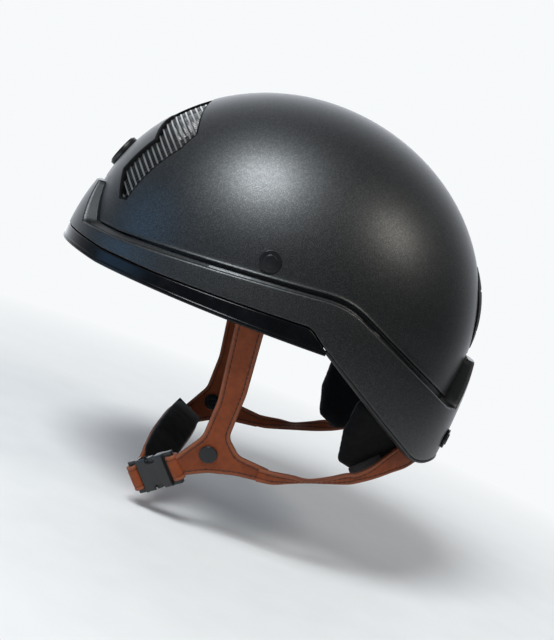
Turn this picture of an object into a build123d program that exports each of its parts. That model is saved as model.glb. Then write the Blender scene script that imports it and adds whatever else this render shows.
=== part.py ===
from build123d import *
from functools import lru_cache
import os

# Jockey skull cap. Millimetres, +Z up, -Y to the front, +X to the wearer's left.
# The origin is on the middle plane, at the height of the front rim trim's lower edge.

# Outer shell: an egg of four quarter ellipsoids, round one centre
SHELL_HALF_WIDTH = 111.5
SHELL_FRONT = 129.8
SHELL_REAR = 133.5
SHELL_RISE = 119.0
SHELL_DROP = 240.0
SHELL_CENTRE_Y = -0.5
SHELL_CENTRE_Z = 24.0
SHELL_WALL = 3.0

# Proud band round the lower shell: a wider egg, kept below the ridge
BAND_HALF_WIDTH = 116.5
BAND_FRONT = 139.6
BAND_REAR = 142.0
BAND_RISE = 135.0
BAND_DROP = 240.0
BAND_CENTRE_Z = 0.0

# Ridge: side outline (along, up), and the arches over the brow and the nape (across, up).
# Along is a share of the shell's front or rear, across of its half-width, up of its rise.
ridge_shares = ((-1.31, 0.185), (-0.80, 0.185), (0.264, 0.289), (0.936, -0.055), (1.31, -0.055))
front_arch_shares = ((0.435, 0.185), (0.255, 0.405))
rear_arch_shares = ((0.390, -0.055), (0.280, 0.205))
RIDGE_BEND = 52.0
RIDGE_REAR_BEND = 12.0
RIDGE_STRIP = 3.6
ARCH_STRIP = 3.6
GROOVE_DEPTH = 0.9

# Lower edge of the shell, seen from the side, and the liner's edge above it
rim_shares = ((-1.31, 0.126), (-0.85, 0.079), (-0.578, 0.079), (0.143, 0.106), (0.242, 0.025),
              (0.634, -0.24), (0.885, -0.402), (1.31, -0.34))
RIM_BENDS = (60.0, 60.0, 9.0, 6.0, 60.0, 30.0)
liner_edge_shares = ((-1.31, 0.03), (0.30, 0.03), (0.60, -0.10), (1.31, -0.19))
LINER_BEND = 40.0

# Front rim trim and rear edge bead
TRIM_GAP = 0.6
TRIM_DEPTH = 7.0
TRIM_END_SHARE = 0.232
TRIM_LIP = 2.2
TRIM_LIP_PROUD = 0.7
trim_edge_shares = ((-1.31, 0.047), (-0.85, 0.0), (1.31, 0.0))
TRIM_EDGE_BEND = 60.0
BEAD_DROP = 1.4
BEAD_PROUD = 0.5
BEAD_DEPTH = 4.2

# Impact liner and the comfort pads on hook patches
FIT = 0.3
LINER_DEPTH = 24.0
PATCH_THICKNESS = 1.2
PATCH_RADIUS = 9.0
PAD_THICKNESS = 7.0
CROWN_PAD_RADIUS = 36.0
BROW_PAD_HALF_WIDTH = 62.0
BROW_PAD_HEIGHT = 24.0
SIDE_PAD_LENGTH = 66.0
SIDE_PAD_HEIGHT = 30.0
BACK_PAD_HALF_WIDTH = 40.0
BACK_PAD_HEIGHT = 30.0
PAD_CORNER = 8.0
VENT_RECESS = 16.0
AIR_HOLE_RADIUS = 4.0
brow_pad_share = 0.11
side_pad_shares = (0.04, 0.40)
back_pad_share = 0.06
# Air holes through the liner (across, up): on the front vent's slope, and behind the rear vent
air_hole_shares = ((0.47, -0.26), (0.46, -0.04), (0.25, 0.09))
rear_air_hole_share = (0.13, 0.45)

# Front vent: right half of its outline (across, up its slope), from the top round to the island.
# The slope leans back by half a right angle, and up it is a share of the shell's rise.
vent_shares = ((0.0, 0.252), (0.203, 0.200), (0.457, 0.107), (0.547, 0.071), (0.587, -0.038),
               (0.578, -0.218), (0.568, -0.391), (0.511, -0.424), (0.361, -0.353),
               (0.368, -0.143), (0.179, -0.067), (0.108, -0.020), (0.0, -0.012))
VENT_WALL = 1.3
VENT_FLANGE = 3.0
VENT_FLANGE_THICKNESS = 1.2
VENT_SPINE = 3.2
MESH_THICKNESS = 1.0
MESH_RECESS = 1.7
MESH_PITCH_ALONG = 4.4
MESH_PITCH_ACROSS = 3.6
MESH_HOLE_ALONG = 2.4
MESH_HOLE_ACROSS = 2.3

# Rear vent, seen from behind (across, up)
rear_vent_shares = ((0.200, 0.66), (0.275, 0.54), (0.275, 0.33), (0.225, 0.235))
REAR_COVER_PROUD = 2.6
REAR_COVER_RADIUS = 75.0
REAR_COVER_LAP = 3.0
REAR_SPLIT = 1.3
rear_split_shares = (0.328, 0.546)
REAR_LOUVRE_HEIGHT = 4.0
REAR_LOUVRE_HALF_WIDTH = 17.0
rear_louvre_shares = (0.282, 0.395, 0.48, 0.60)
REAR_MESH_PITCH = 5.0
REAR_MESH_HOLE = 3.4

# Badge on the island between the vent's legs
BADGE_RADIUS = 9.8
BADGE_THICKNESS = 3.0
BADGE_RING = 1.2
BADGE_RING_THICKNESS = 2.2
BADGE_FACE_RECESS = 0.5
badge_up_share = 0.555

# Rivets of the harness (across, along, up)
side_rivet_shares = (0.94, -0.120, 0.328)
rear_rivet_shares = (0.269, 1.0, -0.268)
RIVET_RADIUS = 6.5
RIVET_HEAD = 1.6
RIVET_STEP_RADIUS = 3.8
RIVET_STEP = 0.7
RIVET_SHANK_RADIUS = 2.2
RIVET_COLLAR_RADIUS = 4.5
WASHER_RADIUS = 6.0
WASHER_THICKNESS = 1.0
PIN_GAP = 0.15

# Leather harness
LEATHER = 2.2
# Yoke: how far it stands out (across, up), and its outline from the side (along, up)
drape_shares = ((0.918, 0.46), (0.918, 0.33), (0.918, 0.118), (0.899, -0.025), (0.848, -0.21),
                (0.789, -0.42), (0.731, -0.63), (0.682, -0.798), (0.645, -0.93))
yoke_shares = ((-0.181, 0.395), (-0.160, -0.034), (-0.107, -0.42), (-0.112, -0.62),
               (-0.196, -0.775), (-0.115, -0.851), (-0.031, -0.800), (0.091, -0.762),
               (0.226, -0.744), (0.226, -0.670), (0.075, -0.655), (0.004, -0.58),
               (0.004, -0.336), (-0.028, -0.025), (-0.058, 0.395))
YOKE_BENDS = (7.0, 60.0, 40.0, 12.0, 1.5, 1.5, 20.0, 40.0, 1.0, 1.0, 9.0, 9.0, 60.0, 60.0, 7.0)
# Yoke's rear arm, which twists as it goes back: centre (across, along, up), width, twist in degrees
rear_arm_shares = ((0.728, 0.185, -0.708), (0.722, 0.257, -0.697), (0.710, 0.332, -0.681),
                   (0.700, 0.408, -0.661), (0.691, 0.498, -0.622), (0.684, 0.572, -0.585))
REAR_ARM_WIDTH = 8.6
rear_arm_twists = (6.0, 20.0, 45.0, 70.0, 55.0, 30.0)
# Nape strap from the rear arm up to the rear rivet
nape_strap_shares = ((0.668, 0.618, -0.566), (0.650, 0.684, -0.510), (0.610, 0.750, -0.437),
                     (0.548, 0.815, -0.378), (0.430, 0.896, -0.318))
nape_width_shares = (0.50, 0.42, 0.58, 0.95, 1.2, 1.12, 0.8)
NAPE_STRAP_WIDTH = 16.5
nape_strap_normals = ((1.0, 0.1, -0.2), (0.98, 0.2, -0.25), (0.95, 0.3, -0.25),
                      (0.88, 0.45, -0.2), (0.76, 0.65, -0.05), (0.5, 0.86, 0.0))
# Cap that closes the yoke's junction (along, up)
junction_shares = (-0.057, -0.697)
JUNCTION_RADIUS = 5.6
JUNCTION_CAP = 1.3
JUNCTION_STUD_RADIUS = 1.6

# Nape pads: side outline (along, up), lying on a plane that leans in to the back and below
nape_pad_shares = ((0.485, -0.15), (0.745, -0.175), (0.755, -0.40), (0.72, -0.475),
                   (0.62, -0.560), (0.512, -0.520), (0.478, -0.363))
NAPE_PAD_BENDS = 6.0
NAPE_PAD_HALF_THICKNESS = 5.0
NAPE_PAD_TAPER = 28.0
nape_pad_centre_shares = (0.643, 0.60, -0.33)
nape_pad_normal = (0.87, 0.40, -0.28)
TAB_LENGTH = 21.0
TAB_HEIGHT = 6.0
TAB_THICKNESS = 1.0
tab_shares = (0.622, -0.480)
TAB_TURN = 46.0

# Side-release buckle, from the yoke's loop towards the chin
BUCKLE_AXIS = (-0.40, -0.69, -0.60)
BUCKLE_ACROSS = (0.0, 0.71, -0.70)
STRAP_WIDTH = 16.0
BAR_RADIUS = 1.5
BAR_GAP = 0.3
BUCKLE_WIDTH = 21.0
BUCKLE_THICKNESS = 8.0
BUCKLE_WALL = 1.7
HOUSING_START = 4.6
HOUSING_LENGTH = 16.5
HOUSING_CORNER = 2.0
WINDOW_START = 9.8
WINDOW_LENGTH = 6.8
WINDOW_DEPTH = 3.6
MALE_BAR = 27.9
MALE_BASE = 2.0
PRONG_WIDTH = 2.2
PRONG_TIP = 10.3
PRONG_HEAD_LENGTH = 5.6
PRONG_THICKNESS = 4.0
GUIDE_WIDTH = 4.0
BUCKLE_GAP = 0.3

# Chin strap from the buckle under the chin to the slider (across, along, up), with its widths
chin_shares = ((0.475, -0.295, -0.928), (0.345, -0.272, -0.880), (0.180, -0.248, -0.832),
               (0.0, -0.222, -0.788), (-0.180, -0.200, -0.755), (-0.360, -0.180, -0.745),
               (-0.50, -0.175, -0.775))
chin_width_shares = (1.0, 1.0, 1.0, 1.25, 1.45, 1.5, 1.45, 1.25, 1.0, 0.90, 0.88)
chin_across = ((0.0, 0.82, -0.57), (0.0, 0.90, -0.43), (0.0, 0.95, -0.31), (0.0, 0.96, -0.27),
               (0.0, 0.96, -0.27), (0.0, 0.93, -0.37), (0.0, 0.86, -0.51))
CHIN_PAD_WIDTH = 21.5
CHIN_PAD_THICKNESS = 6.0
CHIN_PAD_START = 2
chin_pad_width_shares = (0.80, 0.96, 1.0, 1.0, 0.98, 0.85)
chin_pad_thickness_shares = (0.50, 0.92, 1.0, 1.0, 0.95, 0.50)
SLIDER_LENGTH = 13.0
SLIDER_THICKNESS = 2.0
KEEPER_ROOM = 1.2
KEEPER_WALL = 1.6
KEEPER_LENGTH = 5.0
KEEPER_STATION = 8

# Stations added between those of a strap's route, and a length beyond the whole part
ROUTE_STEPS = 3
REACH = 400.0


def across(share):
    return share * SHELL_HALF_WIDTH


def along(share):
    return share * (SHELL_FRONT if share < 0 else SHELL_REAR)


def up(share):
    return share * SHELL_RISE


def place(shares):
    """Point of the shell's frame from its shares across, along and up."""
    return Vector(across(shares[0]), along(shares[1]), up(shares[2]))


@lru_cache(maxsize=None)
def egg(half_width, front, rear, rise, drop, centre_y, centre_z):
    """Four quarter ellipsoids that share their middle sections, as one solid."""
    quarters = []
    for length, facing in ((rear, 1), (front, -1)):
        for height, low, high in ((rise, 0, 90), (drop, -90, 0)):
            plane = Plane(origin=(0, 0, 0), x_dir=(facing, 0, 0), z_dir=(0, 0, 1))
            unit = Solid.make_sphere(1, plane, low, high, 180)
            stretch = Matrix([[half_width, 0, 0, 0], [0, length, 0, centre_y],
                              [0, 0, height, centre_z], [0, 0, 0, 1]])
            quarters.append(unit.transform_geometry(stretch))
    return quarters[0].fuse(*quarters[1:])


def dome(inset):
    return egg(SHELL_HALF_WIDTH - inset, SHELL_FRONT - inset, SHELL_REAR - inset,
               SHELL_RISE - inset, SHELL_DROP - inset, SHELL_CENTRE_Y, SHELL_CENTRE_Z)


def band(inset):
    return egg(BAND_HALF_WIDTH - inset, BAND_FRONT - inset, BAND_REAR - inset,
               BAND_RISE - inset, BAND_DROP - inset, SHELL_CENTRE_Y, BAND_CENTRE_Z)


def side_outline(shares, bends):
    """Rounded line in the middle plane through (along, up) shares."""
    points = [(0, along(y), up(z)) for y, z in shares]
    return FilletPolyline(*points, radius=bends)


def side_prism(line, towards):
    """Everything above (1) or below (-1) a side outline, right across the part."""
    start, end = line @ 0, line @ 1
    far = Polyline(start, (0, start.Y, towards * REACH), (0, end.Y, towards * REACH), end)
    face = make_face(Curve() + line.edges() + far.edges())
    return extrude(face, amount=REACH, dir=(1, 0, 0), both=True)


def arch_prism(shares, facing, drop, inset):
    """Trapezoid over the brow or the nape, narrowed by inset and lowered by drop."""
    (base, low), (top, high) = shares
    half_base, half_top = across(base) - inset, across(top) - inset
    low_z, high_z = up(low) - drop, up(high) - drop
    depth = -REACH
    start = facing * SHELL_HALF_WIDTH / 2
    points = [(-half_base, start, low_z), (-half_top, start, high_z), (half_top, start, high_z),
              (half_base, start, low_z), (half_base, start, depth), (-half_base, start, depth)]
    face = make_face(Polyline(*points, close=True))
    return extrude(face, amount=REACH, dir=(0, facing, 0))


@lru_cache(maxsize=None)
def below_ridge(drop, inset):
    line = side_outline(ridge_shares, (RIDGE_REAR_BEND, RIDGE_BEND, RIDGE_REAR_BEND))
    side = Pos(0, 0, -drop) * side_prism(line, -1)
    front = arch_prism(front_arch_shares, -1, drop, inset)
    rear = arch_prism(rear_arch_shares, 1, drop, inset)
    return side + front + rear


def shell_form(inset):
    """Dome and proud band together, drawn in by inset."""
    return dome(inset) + (band(inset) & below_ridge(RIDGE_STRIP + inset, ARCH_STRIP + inset))


@lru_cache(maxsize=None)
def above_rim():
    return side_prism(side_outline(rim_shares, RIM_BENDS), 1)


@lru_cache(maxsize=None)
def above_liner_edge():
    return side_prism(side_outline(liner_edge_shares, LINER_BEND), 1)


def ordered(a, b):
    """The low and the high corner of the box between two points."""
    return tuple(map(min, a, b)), tuple(map(max, a, b))


def block(low, high):
    """Box between two corners."""
    size = [b - a for a, b in zip(low, high)]
    return Pos(*low) * Box(*size, align=Align.MIN)


def vent_plane():
    return Plane(origin=(0, 0, 0), x_dir=(1, 0, 0), z_dir=(0, -1, 1))


def vent_outline(grow):
    """Front vent's outline on its sloping plane, grown outwards by grow."""
    right = [(across(x), up(s)) for x, s in vent_shares]
    left = [(-x, s) for x, s in reversed(right[1:-1])]
    face = make_face(Polyline(*(right + left), close=True))
    return offset(face, amount=grow, kind=Kind.INTERSECTION) if grow else face


def vent_prism(grow):
    face = vent_plane() * vent_outline(grow)
    return extrude(face, amount=REACH)


def rear_vent_prism(grow):
    right = [(across(x), up(z)) for x, z in rear_vent_shares]
    left = [(-x, z) for x, z in reversed(right)]
    face = offset(make_face(Polyline(*(right + left), close=True)), amount=grow) if grow else \
        make_face(Polyline(*(right + left), close=True))
    plane = Plane(origin=(0, 0, 0), x_dir=(-1, 0, 0), z_dir=(0, 1, 0))
    return extrude(plane * face, amount=REACH)


def surface_y(form, x, z, facing):
    """Where a straight line along Y leaves the dome's or band's egg."""
    half_width, front, rear, rise, drop, centre_z = form
    height = rise if z > centre_z else drop
    reach = 1 - (x / half_width) ** 2 - ((z - centre_z) / height) ** 2
    return SHELL_CENTRE_Y + facing * (rear if facing > 0 else front) * reach ** 0.5


DOME_FORM = (SHELL_HALF_WIDTH, SHELL_FRONT, SHELL_REAR, SHELL_RISE, SHELL_DROP, SHELL_CENTRE_Z)
BAND_FORM = (BAND_HALF_WIDTH, BAND_FRONT, BAND_REAR, BAND_RISE, BAND_DROP, BAND_CENTRE_Z)


def surface_x(y, z, inset):
    """Half-width of the dome at a height above its centre."""
    rise = SHELL_RISE if z > SHELL_CENTRE_Z else SHELL_DROP
    length = SHELL_FRONT if y < SHELL_CENTRE_Y else SHELL_REAR
    reach = 1 - ((y - SHELL_CENTRE_Y) / length) ** 2 - ((z - SHELL_CENTRE_Z) / rise) ** 2
    return SHELL_HALF_WIDTH * reach ** 0.5 - inset


def side_rivet_frame():
    y, z = along(side_rivet_shares[1]), up(side_rivet_shares[2])
    return Plane(origin=(surface_x(y, z, 0), y, z), x_dir=(0, 1, 0), z_dir=(1, 0, 0))


def rear_rivet_frame():
    x, z = across(rear_rivet_shares[0]), up(rear_rivet_shares[2])
    y = surface_y(BAND_FORM, x, z, 1)
    slope = Vector(x / BAND_HALF_WIDTH ** 2, y / BAND_REAR ** 2, z / BAND_DROP ** 2)
    return Plane(origin=(x, y, z), x_dir=slope.cross(Vector(0, 0, 1)), z_dir=slope)


def rod(frame, radius, start, end):
    """Cylinder along a frame's Z, between two heights."""
    return frame * (Pos(0, 0, start) * Cylinder(radius, end - start,
                                                align=(Align.CENTER, Align.CENTER, Align.MIN)))


def both_sides(shape):
    return Compound(children=[*shape.solids(), *mirror(shape, about=Plane.YZ).solids()])


def tangents(points):
    """Direction of travel at each point of a route."""
    ends = [points[0], *points, points[-1]]
    return [(after - before).normalized() for before, after in zip(ends, ends[2:])]


def smooth(stations):
    """Catmull-Rom curve through the stations, with ROUTE_STEPS points from each to the next."""
    first, last = stations[0] * 2 - stations[1], stations[-1] * 2 - stations[-2]
    ends = [first, *stations, last]
    curve = []
    for a, b, c, d in zip(ends, ends[1:], ends[2:], ends[3:]):
        for step in range(ROUTE_STEPS):
            t = step / ROUTE_STEPS
            bend = (a * 2 - b * 5 + c * 4 - d) * t ** 2 + (b * 3 - a - c * 3 + d) * t ** 3
            curve.append((b * 2 + (c - a) * t + bend) * (1 / 2))
    return [*curve, stations[-1]]


def ribbon_axes(centres, crosses):
    """Square cross directions and normals along a route."""
    tidy, normals = [], []
    for direction, cross in zip(tangents(centres), crosses):
        normal = direction.cross(cross).normalized()
        tidy.append(normal.cross(direction))
        normals.append(normal)
    return tidy, normals


def ribbon(centres, crosses, widths, thicknesses, first=0, lift=0):
    """Strap along a route from its station first on; a lift of -1 lays it on the inner side."""
    centres, crosses = smooth(centres), smooth(crosses)
    crosses, normals = ribbon_axes(centres, crosses)
    start = first * ROUTE_STEPS
    route = zip(centres[start:], crosses[start:], normals[start:], smooth(widths), smooth(thicknesses))
    sections = []
    for centre, cross, normal, width, thick in route:
        raised = centre + normal * lift * (LEATHER / 2 + FIT + thick / 2)
        plane = Plane(origin=raised, x_dir=cross, z_dir=cross.cross(normal))
        sections.append(plane * Rectangle(width, thick))
    return loft(sections, ruled=True)


# Shell and its edges

def outer_shell():
    strip = below_ridge(0, 0) - below_ridge(RIDGE_STRIP, ARCH_STRIP)
    shell = (shell_form(0) & above_rim()) - shell_form(SHELL_WALL)
    shell = shell - (strip - dome(GROOVE_DEPTH))
    shell = shell - vent_prism(0) - rear_vent_prism(-REAR_COVER_LAP)
    hole = RIVET_SHANK_RADIUS + PIN_GAP
    holes = [rod(frame, hole, -SHELL_HALF_WIDTH / 4, SHELL_HALF_WIDTH / 4)
             for frame in (side_rivet_frame(), rear_rivet_frame())]
    return shell - both_sides(holes[0] + holes[1])


def front_rim_trim():
    end = along(TRIM_END_SHARE)
    lower_edge = side_prism(side_outline(trim_edge_shares, TRIM_EDGE_BEND), 1)
    zone = block((-REACH, -REACH, -REACH), (REACH, end, REACH)) & lower_edge
    zone = zone - Pos(0, -TRIM_GAP, -TRIM_GAP) * above_rim()
    lip_zone = zone - Pos(0, 0, TRIM_LIP) * lower_edge
    body = (band(0) - band(TRIM_DEPTH)) & zone
    lip = (band(-TRIM_LIP_PROUD) - band(TRIM_DEPTH)) & lip_zone
    return body + lip


def rear_edge_trim():
    start = along(rim_shares[4][0])
    zone = (Pos(0, 0, -BEAD_DROP) * above_rim()) - above_rim()
    zone = zone & block((-REACH, start, -REACH), (REACH, REACH, REACH))
    return (band(-BEAD_PROUD) - band(BEAD_DEPTH)) & zone


# Liner and pads

def strap_pocket():
    """Room beside the liner where the yoke's upper end swings round its rivet."""
    y, z = along(side_rivet_shares[1]), up(side_rivet_shares[2])
    reach = STRAP_WIDTH
    inner = across(min(share for share, _ in drape_shares[:3])) - LEATHER - WASHER_THICKNESS
    points = [(inner, y - reach, z + reach), (inner, y + reach, z + reach),
              (inner, y + reach + RIVET_RADIUS, -reach), (inner, y - reach, -reach)]
    face = make_face(Polyline(*points, close=True))
    return both_sides(extrude(face, amount=REACH, dir=(1, 0, 0)))


def vent_recesses():
    """Recess in the liner behind each vent, and the air holes that lead on to the head."""
    rear = Plane(origin=(0, 0, 0), x_dir=(1, 0, 0), z_dir=(0, 1, 0))
    cut = (vent_prism(VENT_FLANGE + FIT) + rear_vent_prism(0)) - dome(VENT_RECESS)
    spots = [(vent_plane(), share_x, share_s) for share_x, share_s in air_hole_shares]
    for plane, share_x, share_s in [*spots, (rear, rear_air_hole_share[0], -rear_air_hole_share[1])]:
        for side in (-1, 1):
            hole = plane * (Pos(side * across(share_x), up(share_s)) * Circle(AIR_HOLE_RADIUS))
            cut = cut + extrude(hole, amount=REACH)
    return cut


def impact_liner():
    end = along(TRIM_END_SHARE)
    skirt_zone = block((-REACH, -REACH, -REACH), (REACH, end, up(rim_shares[3][1])))
    upper = shell_form(SHELL_WALL + FIT) & (Pos(0, 0, FIT) * above_rim())
    skirt = band(TRIM_DEPTH + FIT) & skirt_zone
    body = (upper + skirt) & above_liner_edge()
    body = body - dome(LINER_DEPTH)
    return body - strap_pocket() - vent_recesses()


def pad_layer(start, thickness):
    return dome(start) - dome(start + thickness)


def pad(zone):
    return pad_layer(LINER_DEPTH + PATCH_THICKNESS + 2 * FIT, PAD_THICKNESS) & zone


def patch(zone):
    return pad_layer(LINER_DEPTH + FIT, PATCH_THICKNESS) & zone


def pad_outlines():
    """Outline of each comfort pad, on a plane that looks outwards."""
    brow_z = up(brow_pad_share) + BROW_PAD_HEIGHT / 2
    back_z = up(back_pad_share) + BACK_PAD_HEIGHT / 2
    side_y, side_z = along(side_pad_shares[0]), up(side_pad_shares[1])
    front = Plane(origin=(0, 0, brow_z), x_dir=(1, 0, 0), z_dir=(0, -1, 0))
    back = Plane(origin=(0, 0, back_z), x_dir=(1, 0, 0), z_dir=(0, 1, 0))
    left = Plane(origin=(0, side_y, side_z), x_dir=(0, 1, 0), z_dir=(1, 0, 0))
    right = Plane(origin=(0, side_y, side_z), x_dir=(0, 1, 0), z_dir=(-1, 0, 0))
    top = Plane(origin=(0, 0, SHELL_CENTRE_Z), x_dir=(1, 0, 0), z_dir=(0, 0, 1))
    side = RectangleRounded(SIDE_PAD_LENGTH, SIDE_PAD_HEIGHT, PAD_CORNER)
    return {"brow_pad": (front, RectangleRounded(2 * BROW_PAD_HALF_WIDTH, BROW_PAD_HEIGHT, PAD_CORNER)),
            "back_pad": (back, RectangleRounded(2 * BACK_PAD_HALF_WIDTH, BACK_PAD_HEIGHT, PAD_CORNER)),
            "side_pad_left": (left, side),
            "side_pad_right": (right, side),
            "crown_pad": (top, Circle(CROWN_PAD_RADIUS))}


def comfort_pads():
    pads, patches = {}, []
    for name, (plane, outline) in pad_outlines().items():
        pads[name] = pad(extrude(plane * outline, amount=REACH))
        dot = extrude(plane * Circle(PATCH_RADIUS), amount=REACH)
        patches.extend(patch(dot).solids())
    return pads, Compound(children=patches)


# Front vent

def vent_frame_piece():
    hole = vent_prism(-VENT_WALL)
    wall = (vent_prism(-PIN_GAP) - hole) & pad_layer(FIT, SHELL_WALL + FIT + VENT_FLANGE_THICKNESS)
    flange = (vent_prism(VENT_FLANGE) - hole)
    flange = flange & pad_layer(SHELL_WALL + FIT, VENT_FLANGE_THICKNESS)
    island = up(vent_shares[-1][1])
    top = up(vent_shares[0][1])
    strip = Pos(0, (island + top) / 2) * Rectangle(VENT_SPINE, top - island)
    spine = extrude(vent_plane() * (strip & vent_outline(-PIN_GAP)), amount=REACH)
    spine = spine & pad_layer(FIT, SHELL_WALL + VENT_FLANGE_THICKNESS)
    return wall + flange + spine


def vent_mesh():
    """Perforated sheet of one side, between the frame's wall and its spine."""
    inside = vent_outline(-VENT_WALL - PIN_GAP)
    half = Pos(REACH / 2 + VENT_SPINE / 2 + PIN_GAP, 0) * Rectangle(REACH, REACH)
    sheet = inside & half
    kept = offset(sheet, amount=-MESH_THICKNESS, kind=Kind.INTERSECTION)
    low, high = up(vent_shares[7][1]), up(vent_shares[0][1])
    rows = int((high - low) / MESH_PITCH_ALONG)
    columns = int(across(vent_shares[4][0]) / MESH_PITCH_ACROSS)
    spots = [(VENT_SPINE + (column + (row % 2) / 2) * MESH_PITCH_ACROSS,
              low + (row + 1 / 2) * MESH_PITCH_ALONG)
             for row in range(rows) for column in range(columns + 1)]
    hole = Rectangle(MESH_HOLE_ACROSS, MESH_HOLE_ALONG)
    corners = [(x, y) for x in (-MESH_HOLE_ACROSS / 2, MESH_HOLE_ACROSS / 2)
               for y in (-MESH_HOLE_ALONG / 2, MESH_HOLE_ALONG / 2)]
    face = kept.faces()[0]
    open_spots = [spot for spot in spots
                  if all(face.is_inside(Vector(spot[0] + x, spot[1] + y)) for x, y in corners)]
    holes = [Pos(*spot) * hole for spot in open_spots]
    perforated = sheet - holes
    return extrude(vent_plane() * perforated, amount=REACH) & pad_layer(MESH_RECESS, MESH_THICKNESS)


# Rear vent

def rear_cover_ball():
    """Ball that crowns the rear cover, so that it thins towards its edges."""
    z = up((rear_vent_shares[0][1] + rear_vent_shares[-1][1]) / 2)
    y = surface_y(DOME_FORM, 0, z, 1)
    slope = Vector(0, (y - SHELL_CENTRE_Y) / SHELL_REAR ** 2, (z - SHELL_CENTRE_Z) / SHELL_RISE ** 2)
    centre = Vector(0, y, z) + slope.normalized() * (REAR_COVER_PROUD - REAR_COVER_RADIUS)
    return Pos(*centre) * Sphere(REAR_COVER_RADIUS)


def rear_vent_cover():
    cover = rear_vent_prism(0) & (rear_cover_ball() - dome(-FIT / 2))
    for share in rear_split_shares:
        split = block((-REACH, 0, up(share) - REAR_SPLIT / 2), (REACH, REACH, up(share) + REAR_SPLIT / 2))
        cover = cover - (split - dome(-REAR_COVER_PROUD / 2))
    for share in rear_louvre_shares:
        size = (2 * REAR_LOUVRE_HALF_WIDTH, REACH, REAR_LOUVRE_HEIGHT)
        cover = cover - Pos(0, REACH / 2, up(share)) * Box(*size)
    return cover


def rear_vent_mesh():
    sheet = rear_vent_prism(-REAR_COVER_LAP - PIN_GAP) & pad_layer(MESH_RECESS / 2, MESH_THICKNESS)
    low, high = up(rear_vent_shares[-1][1]), up(rear_vent_shares[0][1])
    rows = int((high - low - 2 * REAR_COVER_LAP) / REAR_MESH_PITCH)
    columns = int(across(rear_vent_shares[0][0]) / REAR_MESH_PITCH) - 1
    holes = [Pos(column * REAR_MESH_PITCH, SHELL_REAR, low + REAR_COVER_LAP + (row + 1) * REAR_MESH_PITCH)
             * Box(REAR_MESH_HOLE, SHELL_REAR, REAR_MESH_HOLE)
             for row in range(rows - 1) for column in range(-columns, columns + 1)]
    return sheet - holes


# Badge

def badge_frame():
    z = up(badge_up_share)
    y = surface_y(DOME_FORM, 0, z, -1)
    slope = Vector(0, (y - SHELL_CENTRE_Y) / SHELL_FRONT ** 2, (z - SHELL_CENTRE_Z) / SHELL_RISE ** 2)
    return Plane(origin=(0, y, z), x_dir=(1, 0, 0), z_dir=slope)


def badge_body():
    disc = rod(badge_frame(), BADGE_RADIUS, -BADGE_THICKNESS, BADGE_THICKNESS)
    face = rod(badge_frame(), BADGE_RADIUS - BADGE_RING, BADGE_THICKNESS - BADGE_FACE_RECESS,
               2 * BADGE_THICKNESS)
    return disc - dome(-FIT / 2) - face


def badge_ring():
    outer = BADGE_RADIUS + BADGE_RING
    ring = rod(badge_frame(), outer, -BADGE_THICKNESS, BADGE_RING_THICKNESS)
    ring = ring - rod(badge_frame(), BADGE_RADIUS + PIN_GAP, -BADGE_THICKNESS, BADGE_THICKNESS)
    return ring - dome(-FIT / 2)


# Rivets

def strap_face(z, side):
    """How far across the yoke's leather stands at a height, on its outer (1) or inner (-1) face."""
    points = [(across(x), up(s)) for x, s in drape_shares]
    for (x0, z0), (x1, z1) in zip(points, points[1:]):
        if z0 >= z >= z1:
            return x0 + (x1 - x0) * (z0 - z) / (z0 - z1) + side * LEATHER / 2


def side_rivet():
    frame = side_rivet_frame()
    wall = frame.origin.X
    outer = strap_face(frame.origin.Z, 1) + FIT - wall
    inner = strap_face(frame.origin.Z, -1) - FIT - WASHER_THICKNESS - wall
    head = rod(frame, RIVET_RADIUS, 0, RIVET_HEAD) + rod(frame, RIVET_STEP_RADIUS, 0, RIVET_HEAD + RIVET_STEP)
    head = head - dome(-FIT / 2)
    shank = rod(frame, RIVET_SHANK_RADIUS, inner, RIVET_HEAD)
    collar = rod(frame, RIVET_COLLAR_RADIUS, outer, 0) & dome(SHELL_WALL + FIT)
    return head + shank + collar, inner


def rear_rivet():
    frame = rear_rivet_frame()
    inner = -SHELL_WALL - 2 * FIT - LEATHER - WASHER_THICKNESS - FIT
    head = rod(frame, RIVET_RADIUS, 0, RIVET_HEAD) + rod(frame, RIVET_STEP_RADIUS, 0, RIVET_HEAD + RIVET_STEP)
    head = head - band(-FIT / 2)
    return head + rod(frame, RIVET_SHANK_RADIUS, inner, RIVET_HEAD), inner


def rivets_and_washers():
    side, side_inner = side_rivet()
    rear, rear_inner = rear_rivet()
    washers = []
    for frame, start in ((side_rivet_frame(), side_inner), (rear_rivet_frame(), rear_inner)):
        ring = rod(frame, WASHER_RADIUS, start, start + WASHER_THICKNESS)
        washers.append(ring - rod(frame, RIVET_SHANK_RADIUS + PIN_GAP, start, start + WASHER_THICKNESS))
    rivets = Compound(children=[*both_sides(side).solids(), *both_sides(rear).solids()])
    return rivets, Compound(children=[*both_sides(washers[0]).solids(), *both_sides(washers[1]).solids()])


# Yokes and nape straps

def drape_sheet():
    """Leather sheet that hangs from the rivet towards the jaw, as wide as needed."""
    outer = [(across(x) + LEATHER / 2, 0, up(z)) for x, z in drape_shares]
    inner = [(x - LEATHER, y, z) for x, y, z in outer]
    edges = Spline(*outer) + Line(outer[-1], inner[-1]) + Spline(*reversed(inner)) + Line(inner[0], outer[0])
    return extrude(make_face(edges), amount=SHELL_REAR, dir=(0, 1, 0), both=True)


def buckle_frame():
    """Frame of the buckle: origin on the yoke's bar, X towards the chin, Z outwards."""
    z = up((yoke_shares[4][1] + yoke_shares[5][1]) / 2)
    y = along((yoke_shares[4][0] + yoke_shares[5][0]) / 2)
    axis = Vector(*BUCKLE_AXIS).normalized()
    normal = axis.cross(Vector(*BUCKLE_ACROSS)).normalized()
    end = Vector(strap_face(z, 0), y, z)
    return Plane(origin=end + axis * (BAR_RADIUS + LEATHER), x_dir=axis, z_dir=normal)


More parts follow.
